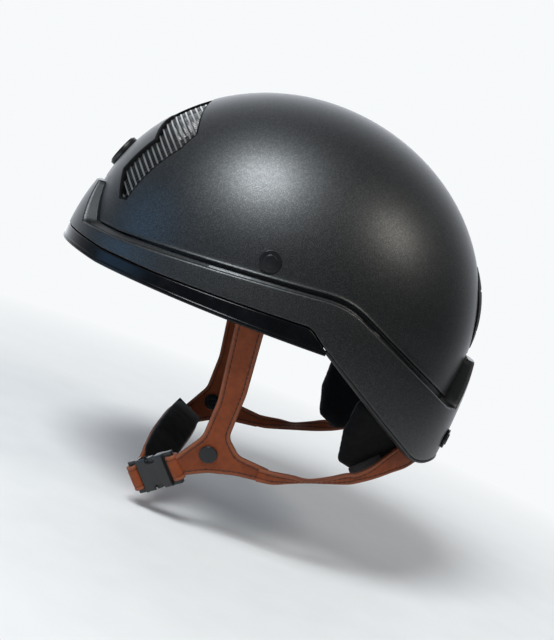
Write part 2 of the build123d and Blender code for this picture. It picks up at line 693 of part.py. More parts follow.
def strap_loop(frame, position, width):
    """Leather turned round a bar that lies along the frame's Y."""
    turn = Plane(origin=(position, 0, 0), x_dir=(1, 0, 0), z_dir=(0, 1, 0))
    bore = BAR_RADIUS + BAR_GAP
    ring = Circle(bore + LEATHER) - Circle(bore)
    return frame * extrude(turn * ring, amount=width / 2, both=True)


def left_yoke():
    points = [(0, along(y), up(z)) for y, z in yoke_shares]
    outline = FilletPolyline(*points, radius=YOKE_BENDS, close=True)
    body = extrude(make_face(outline), amount=REACH, dir=(1, 0, 0)) & drape_sheet()
    bore = strap_loop(buckle_frame(), 0, STRAP_WIDTH)
    bar_room = rod(Plane(origin=buckle_frame().origin, x_dir=buckle_frame().x_dir,
                         z_dir=buckle_frame().y_dir), BAR_RADIUS + BAR_GAP, -STRAP_WIDTH, STRAP_WIDTH)
    body = (body - bar_room) + bore
    centres = [place(shares) for shares in rear_arm_shares]
    crosses = []
    for direction, twist in zip(tangents(centres), rear_arm_twists):
        flat = direction.cross(Vector(1, 0, 0)).normalized()
        crosses.append(flat.rotate(Axis((0, 0, 0), direction), twist))
    stations = len(centres)
    arm = ribbon(centres, crosses, [REAR_ARM_WIDTH] * stations, [LEATHER] * stations)
    rivet_hole = rod(side_rivet_frame(), RIVET_SHANK_RADIUS + PIN_GAP, -SHELL_HALF_WIDTH / 4, 0)
    stud_hole = rod(junction_frame(), JUNCTION_STUD_RADIUS + PIN_GAP, -2 * LEATHER, 2 * LEATHER)
    return body + arm - rivet_hole - stud_hole


def junction_frame():
    y, z = along(junction_shares[0]), up(junction_shares[1])
    step = LEATHER
    slope = (strap_face(z + step, 0) - strap_face(z - step, 0)) / (2 * step)
    return Plane(origin=(strap_face(z, 0), y, z), x_dir=(0, 1, 0), z_dir=(1, 0, -slope))


def junction_caps():
    face = LEATHER / 2 + FIT
    cap = rod(junction_frame(), JUNCTION_RADIUS, face, face + JUNCTION_CAP)
    stud = rod(junction_frame(), JUNCTION_STUD_RADIUS, -face - JUNCTION_CAP, face)
    return both_sides(cap + stud)


def junction_backs():
    face = LEATHER / 2 + FIT
    back = rod(junction_frame(), JUNCTION_RADIUS, -face - JUNCTION_CAP, -face)
    return both_sides(back - rod(junction_frame(), JUNCTION_STUD_RADIUS + PIN_GAP, -2 * LEATHER, 0))


def left_nape_strap():
    end = rear_rivet_frame()
    arm_end, arm_before = place(rear_arm_shares[-1]), place(rear_arm_shares[-2])
    start = arm_end + (arm_end - arm_before).normalized() * 4 * FIT
    face = -SHELL_WALL - 2 * FIT
    centres = [start, *[place(shares) for shares in nape_strap_shares],
               end.origin + end.z_dir * (face - LEATHER / 2)]
    rough = [Vector(*normal) for normal in nape_strap_normals]
    crosses = [direction.cross(normal).normalized()
               for direction, normal in zip(tangents(centres), [*rough, end.z_dir])]
    widths = [NAPE_STRAP_WIDTH * share for share in nape_width_shares]
    strap = ribbon(centres, crosses, widths, [LEATHER] * len(centres))
    strap_end = rod(end, widths[-1] / 2, face - LEATHER, face)
    hole = rod(end, RIVET_SHANK_RADIUS + PIN_GAP, -SHELL_HALF_WIDTH / 4, 0)
    washer_room = rod(end, WASHER_RADIUS + FIT, -SHELL_HALF_WIDTH / 4, face - LEATHER)
    return strap - washer_room - hole + (strap_end - hole)


# Nape pads

def nape_pad_frame():
    origin = place(nape_pad_centre_shares)
    normal = Vector(*nape_pad_normal).normalized()
    level = Vector(0, 0, 1).cross(normal)
    return Plane(origin=origin, x_dir=level, z_dir=normal)


def left_nape_pad():
    frame = nape_pad_frame()
    normal = frame.z_dir
    points = []
    for share_y, share_z in nape_pad_shares:
        y, z = along(share_y), up(share_z)
        x = frame.origin.X - (normal.Y * (y - frame.origin.Y) + normal.Z * (z - frame.origin.Z)) / normal.X
        local = frame.to_local_coords(Vector(x, y, z))
        points.append((local.X, local.Y))
    outline = FilletPolyline(*points, radius=NAPE_PAD_BENDS, close=True)
    face = frame * make_face(outline)
    return extrude(face, amount=NAPE_PAD_HALF_THICKNESS, taper=NAPE_PAD_TAPER, both=True)


def left_nape_tab():
    frame = nape_pad_frame()
    y, z = along(tab_shares[0]), up(tab_shares[1])
    normal = frame.z_dir
    x = frame.origin.X - (normal.Y * (y - frame.origin.Y) + normal.Z * (z - frame.origin.Z)) / normal.X
    origin = Vector(x, y, z) + normal * (NAPE_PAD_HALF_THICKNESS + FIT)
    plane = Plane(origin=origin, x_dir=frame.x_dir, z_dir=normal)
    tab = Rot(0, 0, TAB_TURN) * Box(TAB_LENGTH, TAB_HEIGHT, TAB_THICKNESS,
                                    align=(Align.CENTER, Align.CENTER, Align.MIN))
    return plane * tab


# Buckle

def bar(frame, position):
    axis = Plane(origin=(position, 0, 0), x_dir=(1, 0, 0), z_dir=(0, 1, 0))
    return frame * extrude(axis * Circle(BAR_RADIUS), amount=BUCKLE_WIDTH / 2 - BUCKLE_WALL / 2, both=True)


def side_arms(start, end, thickness):
    """Two arms that hold a bar, in the buckle's own frame."""
    outer = BUCKLE_WIDTH / 2
    inner = STRAP_WIDTH / 2 + BAR_GAP
    arm = block((start, inner, -thickness / 2), (end, outer, thickness / 2))
    return arm + mirror(arm, about=Plane.XZ)


def housing_end():
    return HOUSING_START + HOUSING_LENGTH


def buckle_female():
    """Housing with a side window for each prong's head, and a slot from it to the mouth."""
    half_width, half_thick = BUCKLE_WIDTH / 2, BUCKLE_THICKNESS / 2
    slot = PRONG_THICKNESS / 2 + BUCKLE_GAP
    box = block((HOUSING_START, -half_width, -half_thick), (housing_end(), half_width, half_thick))
    box = fillet(box.edges().filter_by(Axis.X), HOUSING_CORNER)
    cavity = block((HOUSING_START + BUCKLE_WALL, -half_width + BUCKLE_WALL, -half_thick + BUCKLE_WALL),
                   (REACH, half_width - BUCKLE_WALL, half_thick - BUCKLE_WALL))
    box = box - cavity
    for side in (-1, 1):
        low = (WINDOW_START, side * half_width - WINDOW_DEPTH, -half_thick)
        high = (WINDOW_START + WINDOW_LENGTH, side * half_width + WINDOW_DEPTH, half_thick)
        window = block(low, high)
        box = box - fillet(window.edges().filter_by(Axis.Z), WINDOW_LENGTH / 4)
        slot_low = (WINDOW_START + WINDOW_LENGTH / 2, side * (half_width + BUCKLE_GAP), -slot)
        slot_high = (housing_end() + BUCKLE_GAP, side * (half_width - BUCKLE_WALL - BUCKLE_GAP), slot)
        box = box - block(*ordered(slot_low, slot_high))
    arms = side_arms(-BAR_RADIUS, HOUSING_START, 2 * BAR_RADIUS)
    return buckle_frame() * (box + arms) + bar(buckle_frame(), 0)


def buckle_male():
    half_width, half_thick = BUCKLE_WIDTH / 2, BUCKLE_THICKNESS / 2
    start = housing_end() + BUCKLE_GAP
    base = block((start, -half_width, -half_thick + BUCKLE_WALL / 2),
                 (start + MALE_BASE, half_width, half_thick - BUCKLE_WALL / 2))
    arms = side_arms(start, MALE_BAR + BAR_RADIUS, 2 * BAR_RADIUS)
    guide = block((PRONG_TIP, -GUIDE_WIDTH / 2, -PRONG_THICKNESS / 2),
                  (start, GUIDE_WIDTH / 2, PRONG_THICKNESS / 2))
    return buckle_frame() * (base + arms + guide) + bar(buckle_frame(), MALE_BAR)


def prong_root():
    """Centre of the round root that a prong turns about, along and across the buckle."""
    outer = BUCKLE_WIDTH / 2 - BUCKLE_WALL - BUCKLE_GAP
    return housing_end() - PRONG_WIDTH / 2, outer - PRONG_WIDTH / 2


def buckle_prong(side):
    """Springy arm with a round root, and the head that sits in the housing's side window."""
    start, root_y = prong_root()
    outer = BUCKLE_WIDTH / 2 - BUCKLE_WALL - BUCKLE_GAP
    inner = outer - PRONG_WIDTH
    head_end = PRONG_TIP + PRONG_HEAD_LENGTH
    head_out = BUCKLE_WIDTH / 2 - BUCKLE_GAP
    points = [(start, outer), (head_end, outer), (head_end, head_out),
              (PRONG_TIP + PRONG_WIDTH, head_out), (PRONG_TIP, outer), (PRONG_TIP, inner), (start, inner)]
    face = make_face(Polyline(*[(x, side * y) for x, y in points], close=True))
    prong = extrude(face, amount=PRONG_THICKNESS / 2, both=True)
    root = Pos(start, side * root_y) * Cylinder(PRONG_WIDTH / 2, PRONG_THICKNESS)
    return buckle_frame() * (prong + root)


# Chin strap, slider and keeper

def mirrored(vector):
    return Vector(-vector.X, vector.Y, vector.Z)


def slider_frame():
    """On the other yoke's bar, turned towards where the chin strap pulls."""
    origin, bar_axis = mirrored(buckle_frame().origin), mirrored(buckle_frame().y_dir)
    normal = (place(chin_shares[-1]) - origin).cross(bar_axis).normalized()
    return Plane(origin=origin, x_dir=bar_axis.cross(normal), z_dir=normal)


def slider_bar_spots():
    """Bars of the slider: the yoke's loop, and the one that the chin strap goes round."""
    far = SLIDER_LENGTH - 2 * BAR_RADIUS
    return 0, far


def strap_slider():
    near, far = slider_bar_spots()
    rails = side_arms(near - BAR_RADIUS, far + BAR_RADIUS, SLIDER_THICKNESS)
    return slider_frame() * rails + bar(slider_frame(), near) + bar(slider_frame(), far)


def chin_route():
    """Centres, widths, cross directions and normals of the chin strap."""
    start, end = buckle_frame(), slider_frame()
    reach = BAR_RADIUS + BAR_GAP + LEATHER / 2
    far = slider_bar_spots()[1]
    lead = BUCKLE_THICKNESS / 2
    first = [start.from_local_coords(Vector(MALE_BAR + reach, 0, drop)) for drop in (0, -lead)]
    last = [end.from_local_coords(Vector(far + run, 0, reach)) for run in (lead, 0)]
    middle = [place(shares) for shares in chin_shares]
    across_middle = [Vector(*direction) for direction in chin_across]
    centres = [*first, *middle, *last]
    crosses = [start.y_dir, start.y_dir, *across_middle, end.y_dir, end.y_dir]
    return centres, crosses


def chin_strap():
    centres, crosses = chin_route()
    widths = [STRAP_WIDTH * share for share in chin_width_shares]
    body = ribbon(centres, crosses, widths, [LEATHER] * len(centres))
    buckle_loop = strap_loop(buckle_frame(), MALE_BAR, STRAP_WIDTH)
    slider_loop = strap_loop(slider_frame(), slider_bar_spots()[1], STRAP_WIDTH)
    return body + buckle_loop + slider_loop


def strap_keeper():
    """Loop that holds the strap's tail down, near the slider."""
    centres, crosses = (smooth(stations) for stations in chin_route())
    spot = KEEPER_STATION * ROUTE_STEPS - 1
    crosses, normals = ribbon_axes(centres, crosses)
    plane = Plane(origin=centres[spot], x_dir=crosses[spot], z_dir=crosses[spot].cross(normals[spot]))
    width, thick = STRAP_WIDTH + 2 * KEEPER_ROOM, LEATHER + 2 * KEEPER_ROOM
    ring = Rectangle(width + 2 * KEEPER_WALL, thick + 2 * KEEPER_WALL) - Rectangle(width, thick)
    return extrude(plane * ring, amount=KEEPER_LENGTH / 2, both=True)


def chin_pad():
    centres, crosses = chin_route()
    thicknesses = [CHIN_PAD_THICKNESS * share for share in chin_pad_thickness_shares]
    widths = [CHIN_PAD_WIDTH * share for share in chin_pad_width_shares]
    return ribbon(centres, crosses, widths, thicknesses, first=CHIN_PAD_START, lift=-1)


def build():
    shapes = {
        "outer_shell": outer_shell(),
        "front_rim_trim": front_rim_trim(),
        "rear_edge_trim": rear_edge_trim(),
        "impact_liner": impact_liner(),
        "front_vent_frame": vent_frame_piece(),
        "badge_body": badge_body(),
        "badge_ring": badge_ring(),
        "rear_vent_cover": rear_vent_cover(),
        "rear_vent_mesh": rear_vent_mesh(),
        "junction_caps": junction_caps(),
        "junction_backs": junction_backs(),
        "buckle_female": buckle_female(),
        "buckle_male": buckle_male(),
        "buckle_prong_upper": buckle_prong(-1),
        "buckle_prong_lower": buckle_prong(1),
        "strap_slider": strap_slider(),
        "strap_keeper": strap_keeper(),
        "chin_strap": chin_strap(),
        "chin_pad": chin_pad(),
    }
    shapes["harness_rivets"], shapes["rivet_washers"] = rivets_and_washers()
    pads, shapes["hook_patches"] = comfort_pads()
    shapes.update(pads)
    pairs = {"front_vent_mesh": vent_mesh(), "yoke": left_yoke(), "nape_strap": left_nape_strap(),
             "nape_pad": left_nape_pad(), "nape_tab": left_nape_tab()}
    for name, left in pairs.items():
        shapes[name + "_left"] = left
        shapes[name + "_right"] = mirror(left, about=Plane.YZ)
    return shapes


os.makedirs("parts", exist_ok=True)
for node, shape in build().items():
    export_step(shape, "parts/" + node + ".step")
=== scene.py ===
import math

import bmesh
import bpy
import numpy as np
from mathutils import Matrix, Vector, geometry


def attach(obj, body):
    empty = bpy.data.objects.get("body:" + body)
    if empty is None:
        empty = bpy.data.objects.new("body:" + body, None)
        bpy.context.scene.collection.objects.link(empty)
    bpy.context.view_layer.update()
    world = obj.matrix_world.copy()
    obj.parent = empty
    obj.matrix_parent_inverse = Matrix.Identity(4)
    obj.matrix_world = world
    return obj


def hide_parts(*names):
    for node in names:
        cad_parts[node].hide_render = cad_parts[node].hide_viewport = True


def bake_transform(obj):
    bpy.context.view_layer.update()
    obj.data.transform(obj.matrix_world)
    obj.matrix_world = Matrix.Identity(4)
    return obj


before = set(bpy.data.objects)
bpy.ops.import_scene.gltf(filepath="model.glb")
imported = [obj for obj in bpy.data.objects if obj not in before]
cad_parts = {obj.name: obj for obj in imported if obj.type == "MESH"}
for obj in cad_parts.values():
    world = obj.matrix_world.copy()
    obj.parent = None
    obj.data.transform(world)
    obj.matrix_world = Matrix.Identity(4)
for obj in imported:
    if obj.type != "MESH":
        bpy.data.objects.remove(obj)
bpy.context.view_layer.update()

# Lengths below are in millimetres, in the part's own frame, and meshes are scaled to metres.
MM = 0.001
HALF_WIDTH, FRONT, REAR, RISE, DROP = 111.5, 129.8, 133.5, 119.0, 240.0
CENTRE_Y, CENTRE_Z = -0.5, 24.0
BAND_HALF_WIDTH, BAND_FRONT, BAND_REAR, BAND_RISE, BAND_DROP = 116.5, 139.6, 142.0, 135.0, 240.0
BAND_CENTRE_Z = 0.0
WALL = 3.0
# The groove above the ledge: how far it reaches down from the dome's edge, and how deep it is
STRIP, GROOVE = 3.6, 1.6
LEATHER = 2.2
# Seam of the leather: its distance to the edge, half width, depth, and the stitches in it
SEAM_INSET, SEAM_WIDTH, SEAM_DEPTH, SEAM_SINK = 2.65, 0.42, 0.30, 0.12
STITCH_PITCH, STITCH_LENGTH, STITCH_RADIUS = 3.3, 2.3, 0.36
# Angles in degrees above which an edge is drawn sharp
SOFT_SMOOTH, SHELL_SMOOTH, STITCH_SMOOTH = 50.0, 38.0, 80.0
BAND_SMOOTH, RIBBON_SMOOTH, PAD_SMOOTH = 40.0, 55.0, 60.0


def across(share):
    return share * HALF_WIDTH


def along(share):
    return share * (FRONT if share < 0 else REAR)


def up(share):
    return share * RISE


def mirrored(side):
    return np.array([side, 1.0, 1.0])


def place(shares):
    return np.array([across(shares[0]), along(shares[1]), up(shares[2])])


# Meshes

def add_object(name, points, faces, smooth=35.0):
    """Closed mesh from points in millimetres; edges sharper than smooth degrees stay sharp."""
    mesh = bpy.data.meshes.new(name)
    mesh.from_pydata((np.asarray(points, float) * MM).tolist(), [], faces)
    mesh.update()
    obj = bpy.data.objects.new(name, mesh)
    bpy.context.scene.collection.objects.link(obj)
    shade(obj, smooth)
    fix_normals(obj)
    return obj


def shade(obj, smooth=35.0):
    obj.data.shade_smooth()
    obj.data.set_sharp_from_angle(angle=math.radians(smooth))


def grid_faces(rows, columns, ring=False, start=0):
    """Quads of a grid of points, whose last column joins the first; with ring, so do its rows."""
    faces = []
    for r in range(rows if ring else rows - 1):
        low, high = start + r * columns, start + ((r + 1) % rows) * columns
        for c in range(columns):
            n = (c + 1) % columns
            faces.append((low + c, low + n, high + n, high + c))
    return faces


def end_faces(rows, columns, start=0):
    """Faces that close the first and the last row of a closed grid."""
    last = start + (rows - 1) * columns
    return [tuple(range(start, start + columns))[::-1], tuple(range(last, last + columns))]


def tube_faces(rows, columns, start=0):
    return grid_faces(rows, columns, start=start) + end_faces(rows, columns, start)


def add_attribute(obj, name, values):
    attribute = obj.data.attributes.new(name, "FLOAT", "POINT")
    attribute.data.foreach_set("value", np.asarray(values, np.float32))


def fix_normals(obj):
    work = bmesh.new()
    work.from_mesh(obj.data)
    bmesh.ops.recalc_face_normals(work, faces=work.faces)
    work.to_mesh(obj.data)
    work.free()


def modifier(obj, kind, **values):
    made = obj.modifiers.new(kind.lower(), kind)
    for key, value in values.items():
        setattr(made, key, value)
    return made


def apply_modifiers(obj):
    bpy.context.view_layer.update()
    graph = bpy.context.evaluated_depsgraph_get()
    mesh = bpy.data.meshes.new_from_object(obj.evaluated_get(graph))
    obj.modifiers.clear()
    obj.data = mesh


# Lines and curves

def rounded(points, bends, steps=10, close=False):
    """Polyline through points with arcs of the given radii at its corners."""
    points = [np.array(p, float) for p in points]
    count = len(points)
    made = [] if close else [points[0]]
    corners = range(count) if close else range(1, count - 1)
    for order, i in enumerate(corners):
        before, at, after = points[i - 1], points[i], points[(i + 1) % count]
        a, b = at - before, after - at
        a, b = a / np.linalg.norm(a), b / np.linalg.norm(b)
        turn = math.acos(max(-1.0, min(1.0, float(a @ b))))
        radius = bends[order]
        if turn < 1e-4:
            made.append(at)
            continue
        reach = radius * math.tan(turn / 2)
        start = at - a * reach
        inward = (b - a) / np.linalg.norm(b - a)
        centre = at + inward * radius / math.cos(turn / 2)
        spoke = start - centre
        for step in range(steps + 1):
            angle = turn * step / steps
            made.append(centre + spoke * math.cos(angle) + a * radius * math.sin(angle))
    if not close:
        made.append(points[-1])
    return np.array(made)


def catmull(stations, steps):
    stations = [np.asarray(s, float) for s in stations]
    ends = [2 * stations[0] - stations[1], *stations, 2 * stations[-1] - stations[-2]]
    curve = []
    for a, b, c, d in zip(ends, ends[1:], ends[2:], ends[3:]):
        for step in range(steps):
            t = step / steps
            curve.append(0.5 * (2 * b + (c - a) * t + (2 * a - 5 * b + 4 * c - d) * t ** 2
                                + (3 * b - a - 3 * c + d) * t ** 3))
    curve.append(stations[-1])
    return np.array(curve)


def unit(v):
    v = np.asarray(v, float)
    return v / np.linalg.norm(v, axis=-1, keepdims=True)


def run_lengths(points):
    """Length run at each point of a line, from its start."""
    return np.concatenate([[0], np.cumsum(np.linalg.norm(np.diff(points, axis=0), axis=1))])


def read_at(wanted, lengths, values):
    """Rows of values read at the wanted lengths."""
    return np.stack([np.interp(wanted, lengths, column) for column in np.asarray(values).T], 1)


def side_height(shares, bends):
    line = rounded([(along(y), up(z)) for y, z in shares], bends, steps=16)
    return lambda y: np.interp(y, line[:, 0], line[:, 1])


ridge_height = side_height(((-1.31, 0.185), (-0.80, 0.185), (0.264, 0.289), (0.936, -0.055),
                            (1.31, -0.055)), (12.0, 52.0, 12.0))
rim_height = side_height(((-1.31, 0.126), (-0.85, 0.079), (-0.578, 0.079), (0.143, 0.106),
                          (0.242, 0.025), (0.634, -0.24), (0.885, -0.402), (1.31, -0.34)),
                         (60.0, 60.0, 9.0, 6.0, 60.0, 30.0))
trim_height = side_height(((-1.31, 0.047), (-0.85, 0.0), (1.31, 0.0)), (60.0,))
FRONT_ARCH = (across(0.435), up(0.185), across(0.255), up(0.405))
REAR_ARCH = (across(0.390), up(-0.055), across(0.280), up(0.205))


# The shell's two eggs, by the angle round the middle (0 in front, 90 to the wearer's left)

FORMS = ((HALF_WIDTH, FRONT, REAR, RISE, DROP, CENTRE_Z),
         (BAND_HALF_WIDTH, BAND_FRONT, BAND_REAR, BAND_RISE, BAND_DROP, BAND_CENTRE_Z))
# Heights at which the ridge is looked for, before it is found more closely
SCAN = np.linspace(70, -62, 529)


def rho(form, phi, z, inset=0.0):
    """Distance from the axis to the dome (form 0) or the band (form 1) at an angle and height."""
    half, front, rear, rise, drop, centre = FORMS[form]
    length = np.where(np.cos(phi) > 0, front, rear) - inset
    height = np.where(z > centre, rise, drop) - inset
    level = np.sqrt(np.clip(1 - ((z - centre) / height) ** 2, 0, None))
    return level / np.sqrt((np.sin(phi) / (half - inset)) ** 2 + (np.cos(phi) / length) ** 2)


def spot(form, phi, z, inset=0.0, out=0.0):
    r = rho(form, phi, z, inset) + out
    return np.stack([r * np.sin(phi), CENTRE_Y - r * np.cos(phi), z + 0 * r], -1)


def under_ridge(points, drop):
    x, y, z = points.T
    inside = z < ridge_height(y) - drop
    for (base, low, top, high), facing in ((FRONT_ARCH, -1), (REAR_ARCH, 1)):
        share = np.clip((z + drop - low) / (high - low), 0, 1)
        half = base + (top - base) * share - drop
        inside |= (facing * y > HALF_WIDTH / 2) & (np.abs(x) < half) & (z < high - drop)
    return inside


def first_height(form, phi, drop, inset=0.0):
    """Highest place on a form, at each angle, that is at least drop under the ridge."""
    hits = np.array([under_ridge(spot(form, phi, np.full(len(phi), z), inset), drop) for z in SCAN])
    first = np.where(hits.any(0), hits.argmax(0), len(SCAN) - 1)
    found, above = SCAN[first], SCAN[first - 1]
    for _ in range(16):
        middle = (found + above) / 2
        hit = under_ridge(spot(form, phi, middle, inset), drop)
        found, above = np.where(hit, middle, found), np.where(hit, above, middle)
    return found


# Materials

def new_material(name):
    made = bpy.data.materials.new(name)
    made.use_nodes = True
    return made, Nodes(made)


def rgba(colour):
    return (*colour, 1.0) if len(colour) == 3 else colour


def tinted(colour, share, lift=0.0):
    return tuple(c * share + lift for c in colour)


class Nodes:
    """Short way to add and join shader nodes."""

    def __init__(self, material):
        self.tree = material.node_tree

    def add(self, kind, inputs=None, **values):
        node = self.tree.nodes.new(kind)
        for key, value in values.items():
            setattr(node, key, value)
        return self.feed(node, inputs or {})

    def feed(self, node, inputs):
        """Joins each input of a node to a socket, or sets it to a value."""
        for key, value in inputs.items():
            socket = node.inputs[key]
            if isinstance(value, bpy.types.NodeSocket):
                self.tree.links.new(value, socket)
            elif value is not None:
                socket.default_value = rgba(value) if socket.type == "RGBA" else value
        return node

    def surface(self, inputs):
        return self.feed(self.tree.nodes["Principled BSDF"], inputs)

    def place(self):
        return self.add("ShaderNodeTexCoord").outputs["Object"]

    def noise(self, scale, detail=3.0, roughness=0.5, vector=None):
        node = self.add("ShaderNodeTexNoise", {"Vector": vector or self.place(), "Scale": scale,
                                               "Detail": detail, "Roughness": roughness})
        return node.outputs["Fac"]

    def cells(self, scale, output="Distance", **values):
        node = self.add("ShaderNodeTexVoronoi", {"Vector": self.place(), "Scale": scale}, **values)
        return node.outputs[output]

    def red(self, colour):
        return self.add("ShaderNodeSeparateColor", {"Color": colour}).outputs[0]

    def attribute(self, name):
        return self.add("ShaderNodeAttribute", attribute_name=name).outputs["Fac"]

    def seen_direct(self):
        return self.add("ShaderNodeLightPath").outputs["Is Camera Ray"]

    def ramp(self, value, stops):
        node = self.add("ShaderNodeValToRGB", {"Fac": value})
        ramp = node.color_ramp
        while len(ramp.elements) < len(stops):
            ramp.elements.new(0.5)
        for element, (position, color) in zip(ramp.elements, stops):
            element.position, element.color = position, rgba(color)
        return node.outputs["Color"]

    def remap(self, value, low, high, to_low, to_high):
        node = self.add("ShaderNodeMapRange", {"Value": value, "From Min": low, "From Max": high,
                                               "To Min": to_low, "To Max": to_high})
        return node.outputs["Result"]

    def bump(self, height, strength, distance, normal=None):
        return self.add("ShaderNodeBump", {"Height": height, "Strength": strength, "Distance": distance,
                                           "Normal": normal}).outputs["Normal"]

    def mix(self, factor, a, b):
        return self.add("ShaderNodeMix", {0: factor, 6: a, 7: b}, data_type="RGBA").outputs[2]

    def math(self, operation, a, b=None):
        return self.add("ShaderNodeMath", {0: a, 1: b}, operation=operation).outputs[0]


def paint_material():
    """Charcoal lacquer with a fine metallic fleck under a satin clear coat, and painted shade in the
    ridge's groove and on its ledge.
    """
    made, n = new_material("charcoal_lacquer")
    fleck, flakes = n.cells(3600.0), n.cells(3600.0, "Color")
    grain, broad = n.noise(2400.0, 2.0), n.noise(14.0, 2.0)
    base = n.ramp(grain, ((0.30, (0.034, 0.036, 0.037)), (0.70, (0.048, 0.051, 0.052))))
    sparkle = n.ramp(n.red(flakes), ((0.55, (0.0, 0.0, 0.0)), (1.0, (1.0, 1.0, 1.0))))
    colour = n.mix(sparkle, base, (0.105, 0.110, 0.114))
    # Painted shade: the groove and ledge rows are darkened towards near black
    colour = n.mix(n.math("MULTIPLY", n.attribute("painted_shade"), 0.8), colour, (0.014, 0.016, 0.018))
    peel = n.bump(grain, 0.08, 0.00018)
    n.surface({"Base Color": colour, "Roughness": n.remap(broad, 0.3, 0.7, 0.44, 0.48),
               "Metallic": 0.94, "Coat Weight": 0.20, "Coat Roughness": 0.30,
               "Normal": n.bump(fleck, 0.05, 0.00012, peel)})
    return made


def plastic_material(name, colour, rough, grain_scale=1400.0, grain=0.12, coat=0.0, shine=0.5):
    """Moulded plastic with a fine spark-eroded grain, faint scuffs and a little dust."""
    made, n = new_material(name)
    scuff, texture = n.noise(60.0, 6.0, 0.65), n.noise(grain_scale, 3.0, 0.6)
    light, dark = tinted(colour, 1.35, 0.004), tinted(colour, 0.65)
    n.surface({"Base Color": n.ramp(scuff, ((0.32, dark), (0.55, colour), (0.78, light))),
               "Roughness": n.remap(scuff, 0.25, 0.8, rough - 0.06, rough + 0.08),
               "Specular IOR Level": shine, "Coat Weight": coat, "Coat Roughness": 0.2,
               "Normal": n.bump(texture, grain, 0.00025)})
    return made


def metal_material(name, colour, rough):
    made, n = new_material(name)
    streak = n.add("ShaderNodeMapping", {"Vector": n.place(), "Scale": (1.0, 6.0, 1.0)})
    brushed, wear = n.noise(700.0, 4.0, 0.6, streak.outputs["Vector"]), n.noise(90.0, 4.0)
    n.surface({"Base Color": n.ramp(wear, ((0.3, tinted(colour, 0.8)), (0.7, colour))), "Metallic": 1.0,
               "Roughness": n.remap(brushed, 0.3, 0.7, rough - 0.06, rough + 0.1),
               "Normal": n.bump(brushed, 0.05, 0.0002)})
    return made


def leather_material():
    """Brown leather: fine pores, paler folded edge, and a dark stitch line beside the fold."""
    made, n = new_material("brown_leather")
    pores, creases, tone = n.cells(1100.0), n.noise(260.0, 5.0, 0.62), n.noise(45.0, 4.0, 0.55)
    edge = n.attribute("edge")
    off_seam = n.math("ABSOLUTE", n.math("SUBTRACT", edge, SEAM_INSET))
    groove = n.math("SUBTRACT", 1.0, n.math("MINIMUM", n.math("DIVIDE", off_seam, SEAM_WIDTH), 1.0))
    body = n.ramp(tone, ((0.28, (0.190, 0.042, 0.012)), (0.5, (0.245, 0.056, 0.017)),
                         (0.75, (0.285, 0.071, 0.024))))
    body = n.mix(n.remap(creases, 0.35, 0.7, 0.0, 0.35), body, (0.115, 0.028, 0.012))
    # Folded edge, cut rim and seam
    for share, strength, colour in ((n.remap(edge, 1.2, 2.4, 1.0, 0.0), 0.55, (0.27, 0.100, 0.056)),
                                    (n.remap(edge, 0.0, 0.45, 1.0, 0.0), 0.7, (0.070, 0.024, 0.015)),
                                    (groove, 0.85, (0.050, 0.018, 0.012))):
        body = n.mix(n.math("MULTIPLY", share, strength), body, colour)
    n.surface({"Base Color": body, "Roughness": n.remap(creases, 0.3, 0.7, 0.50, 0.66),
               "Specular IOR Level": 0.22,
               "Normal": n.bump(creases, 0.35, 0.0003, n.bump(pores, 0.22, 0.0002))})
    return made


def fabric_material(name, colour, weave=900.0, fuzz=0.4, rough=0.9, shine=0.5):
    """Knitted or fleece cloth: fine loops, lint and a soft sheen."""
    made, n = new_material(name)
    loops, lint, folds = n.cells(weave), n.noise(weave * 0.5, 6.0, 0.7), n.noise(55.0, 3.0)
    tone = n.ramp(lint, ((0.35, tinted(colour, 0.5)), (0.6, colour), (0.8, tinted(colour, 2.0, 0.004))))
    tone = n.mix(n.remap(folds, 0.35, 0.7, 0.0, 0.4), tone, tinted(colour, 0.4))
    n.surface({"Base Color": tone, "Roughness": rough, "Specular IOR Level": shine,
               "Sheen Weight": fuzz, "Sheen Roughness": 0.5,
               "Normal": n.bump(lint, 0.5, 0.0006, n.bump(loops, 0.5, 0.0004))})
    return made


def foam_material():
    """Expanded bead foam: round cells with dark joints."""
    made, n = new_material("bead_foam")
    beads, edges = n.cells(330.0, "Color"), n.cells(330.0, feature="DISTANCE_TO_EDGE")
    tone = n.ramp(n.red(beads), ((0.0, (0.020, 0.021, 0.023)), (1.0, (0.040, 0.041, 0.044))))
    joint = n.remap(edges, 0.0, 0.08, 1.0, 0.0)
    n.surface({"Base Color": n.mix(joint, tone, (0.008, 0.008, 0.009)), "Roughness": 0.8,
               "Normal": n.bump(edges, 0.5, 0.0006)})
    return made


def thread_material():
    made, n = new_material("dark_thread")
    twist = n.noise(2500.0, 3.0)
    n.surface({"Base Color": n.ramp(twist, ((0.3, (0.020, 0.010, 0.008)), (0.7, (0.060, 0.030, 0.022)))),
               "Roughness": 0.7, "Normal": n.bump(twist, 0.4, 0.0003)})
    return made


PAINT = paint_material()
TRIM = plastic_material("trim_black", (0.003, 0.0035, 0.0045), 0.24, 1800.0, 0.04, 0.0, 0.22)
BEAD = plastic_material("edge_rubber", (0.007, 0.0075, 0.008), 0.5, 1500.0, 0.15)
FRAME = plastic_material("vent_frame_black", (0.001, 0.001, 0.0012), 0.62, shine=0.15)
COVER = plastic_material("vent_cover_black", (0.001, 0.001, 0.0012), 0.62, shine=0.15)
GRILLE = metal_material("grille_steel", (0.42, 0.43, 0.42), 0.34)
WEB = metal_material("grille_web_steel", (0.15, 0.15, 0.15), 0.40)
DARK_MESH = plastic_material("mesh_black", (0.008, 0.008, 0.009), 0.5)
BADGE = plastic_material("badge_black", (0.002, 0.002, 0.0025), 0.42, 1500.0, 0.08, 0.0, 0.3)
RING = metal_material("ring_steel", (0.07, 0.07, 0.07), 0.36)
RIVET = plastic_material("rivet_black", (0.009, 0.010, 0.0115), 0.36, 1500.0, 0.10, 0.1, 0.35)
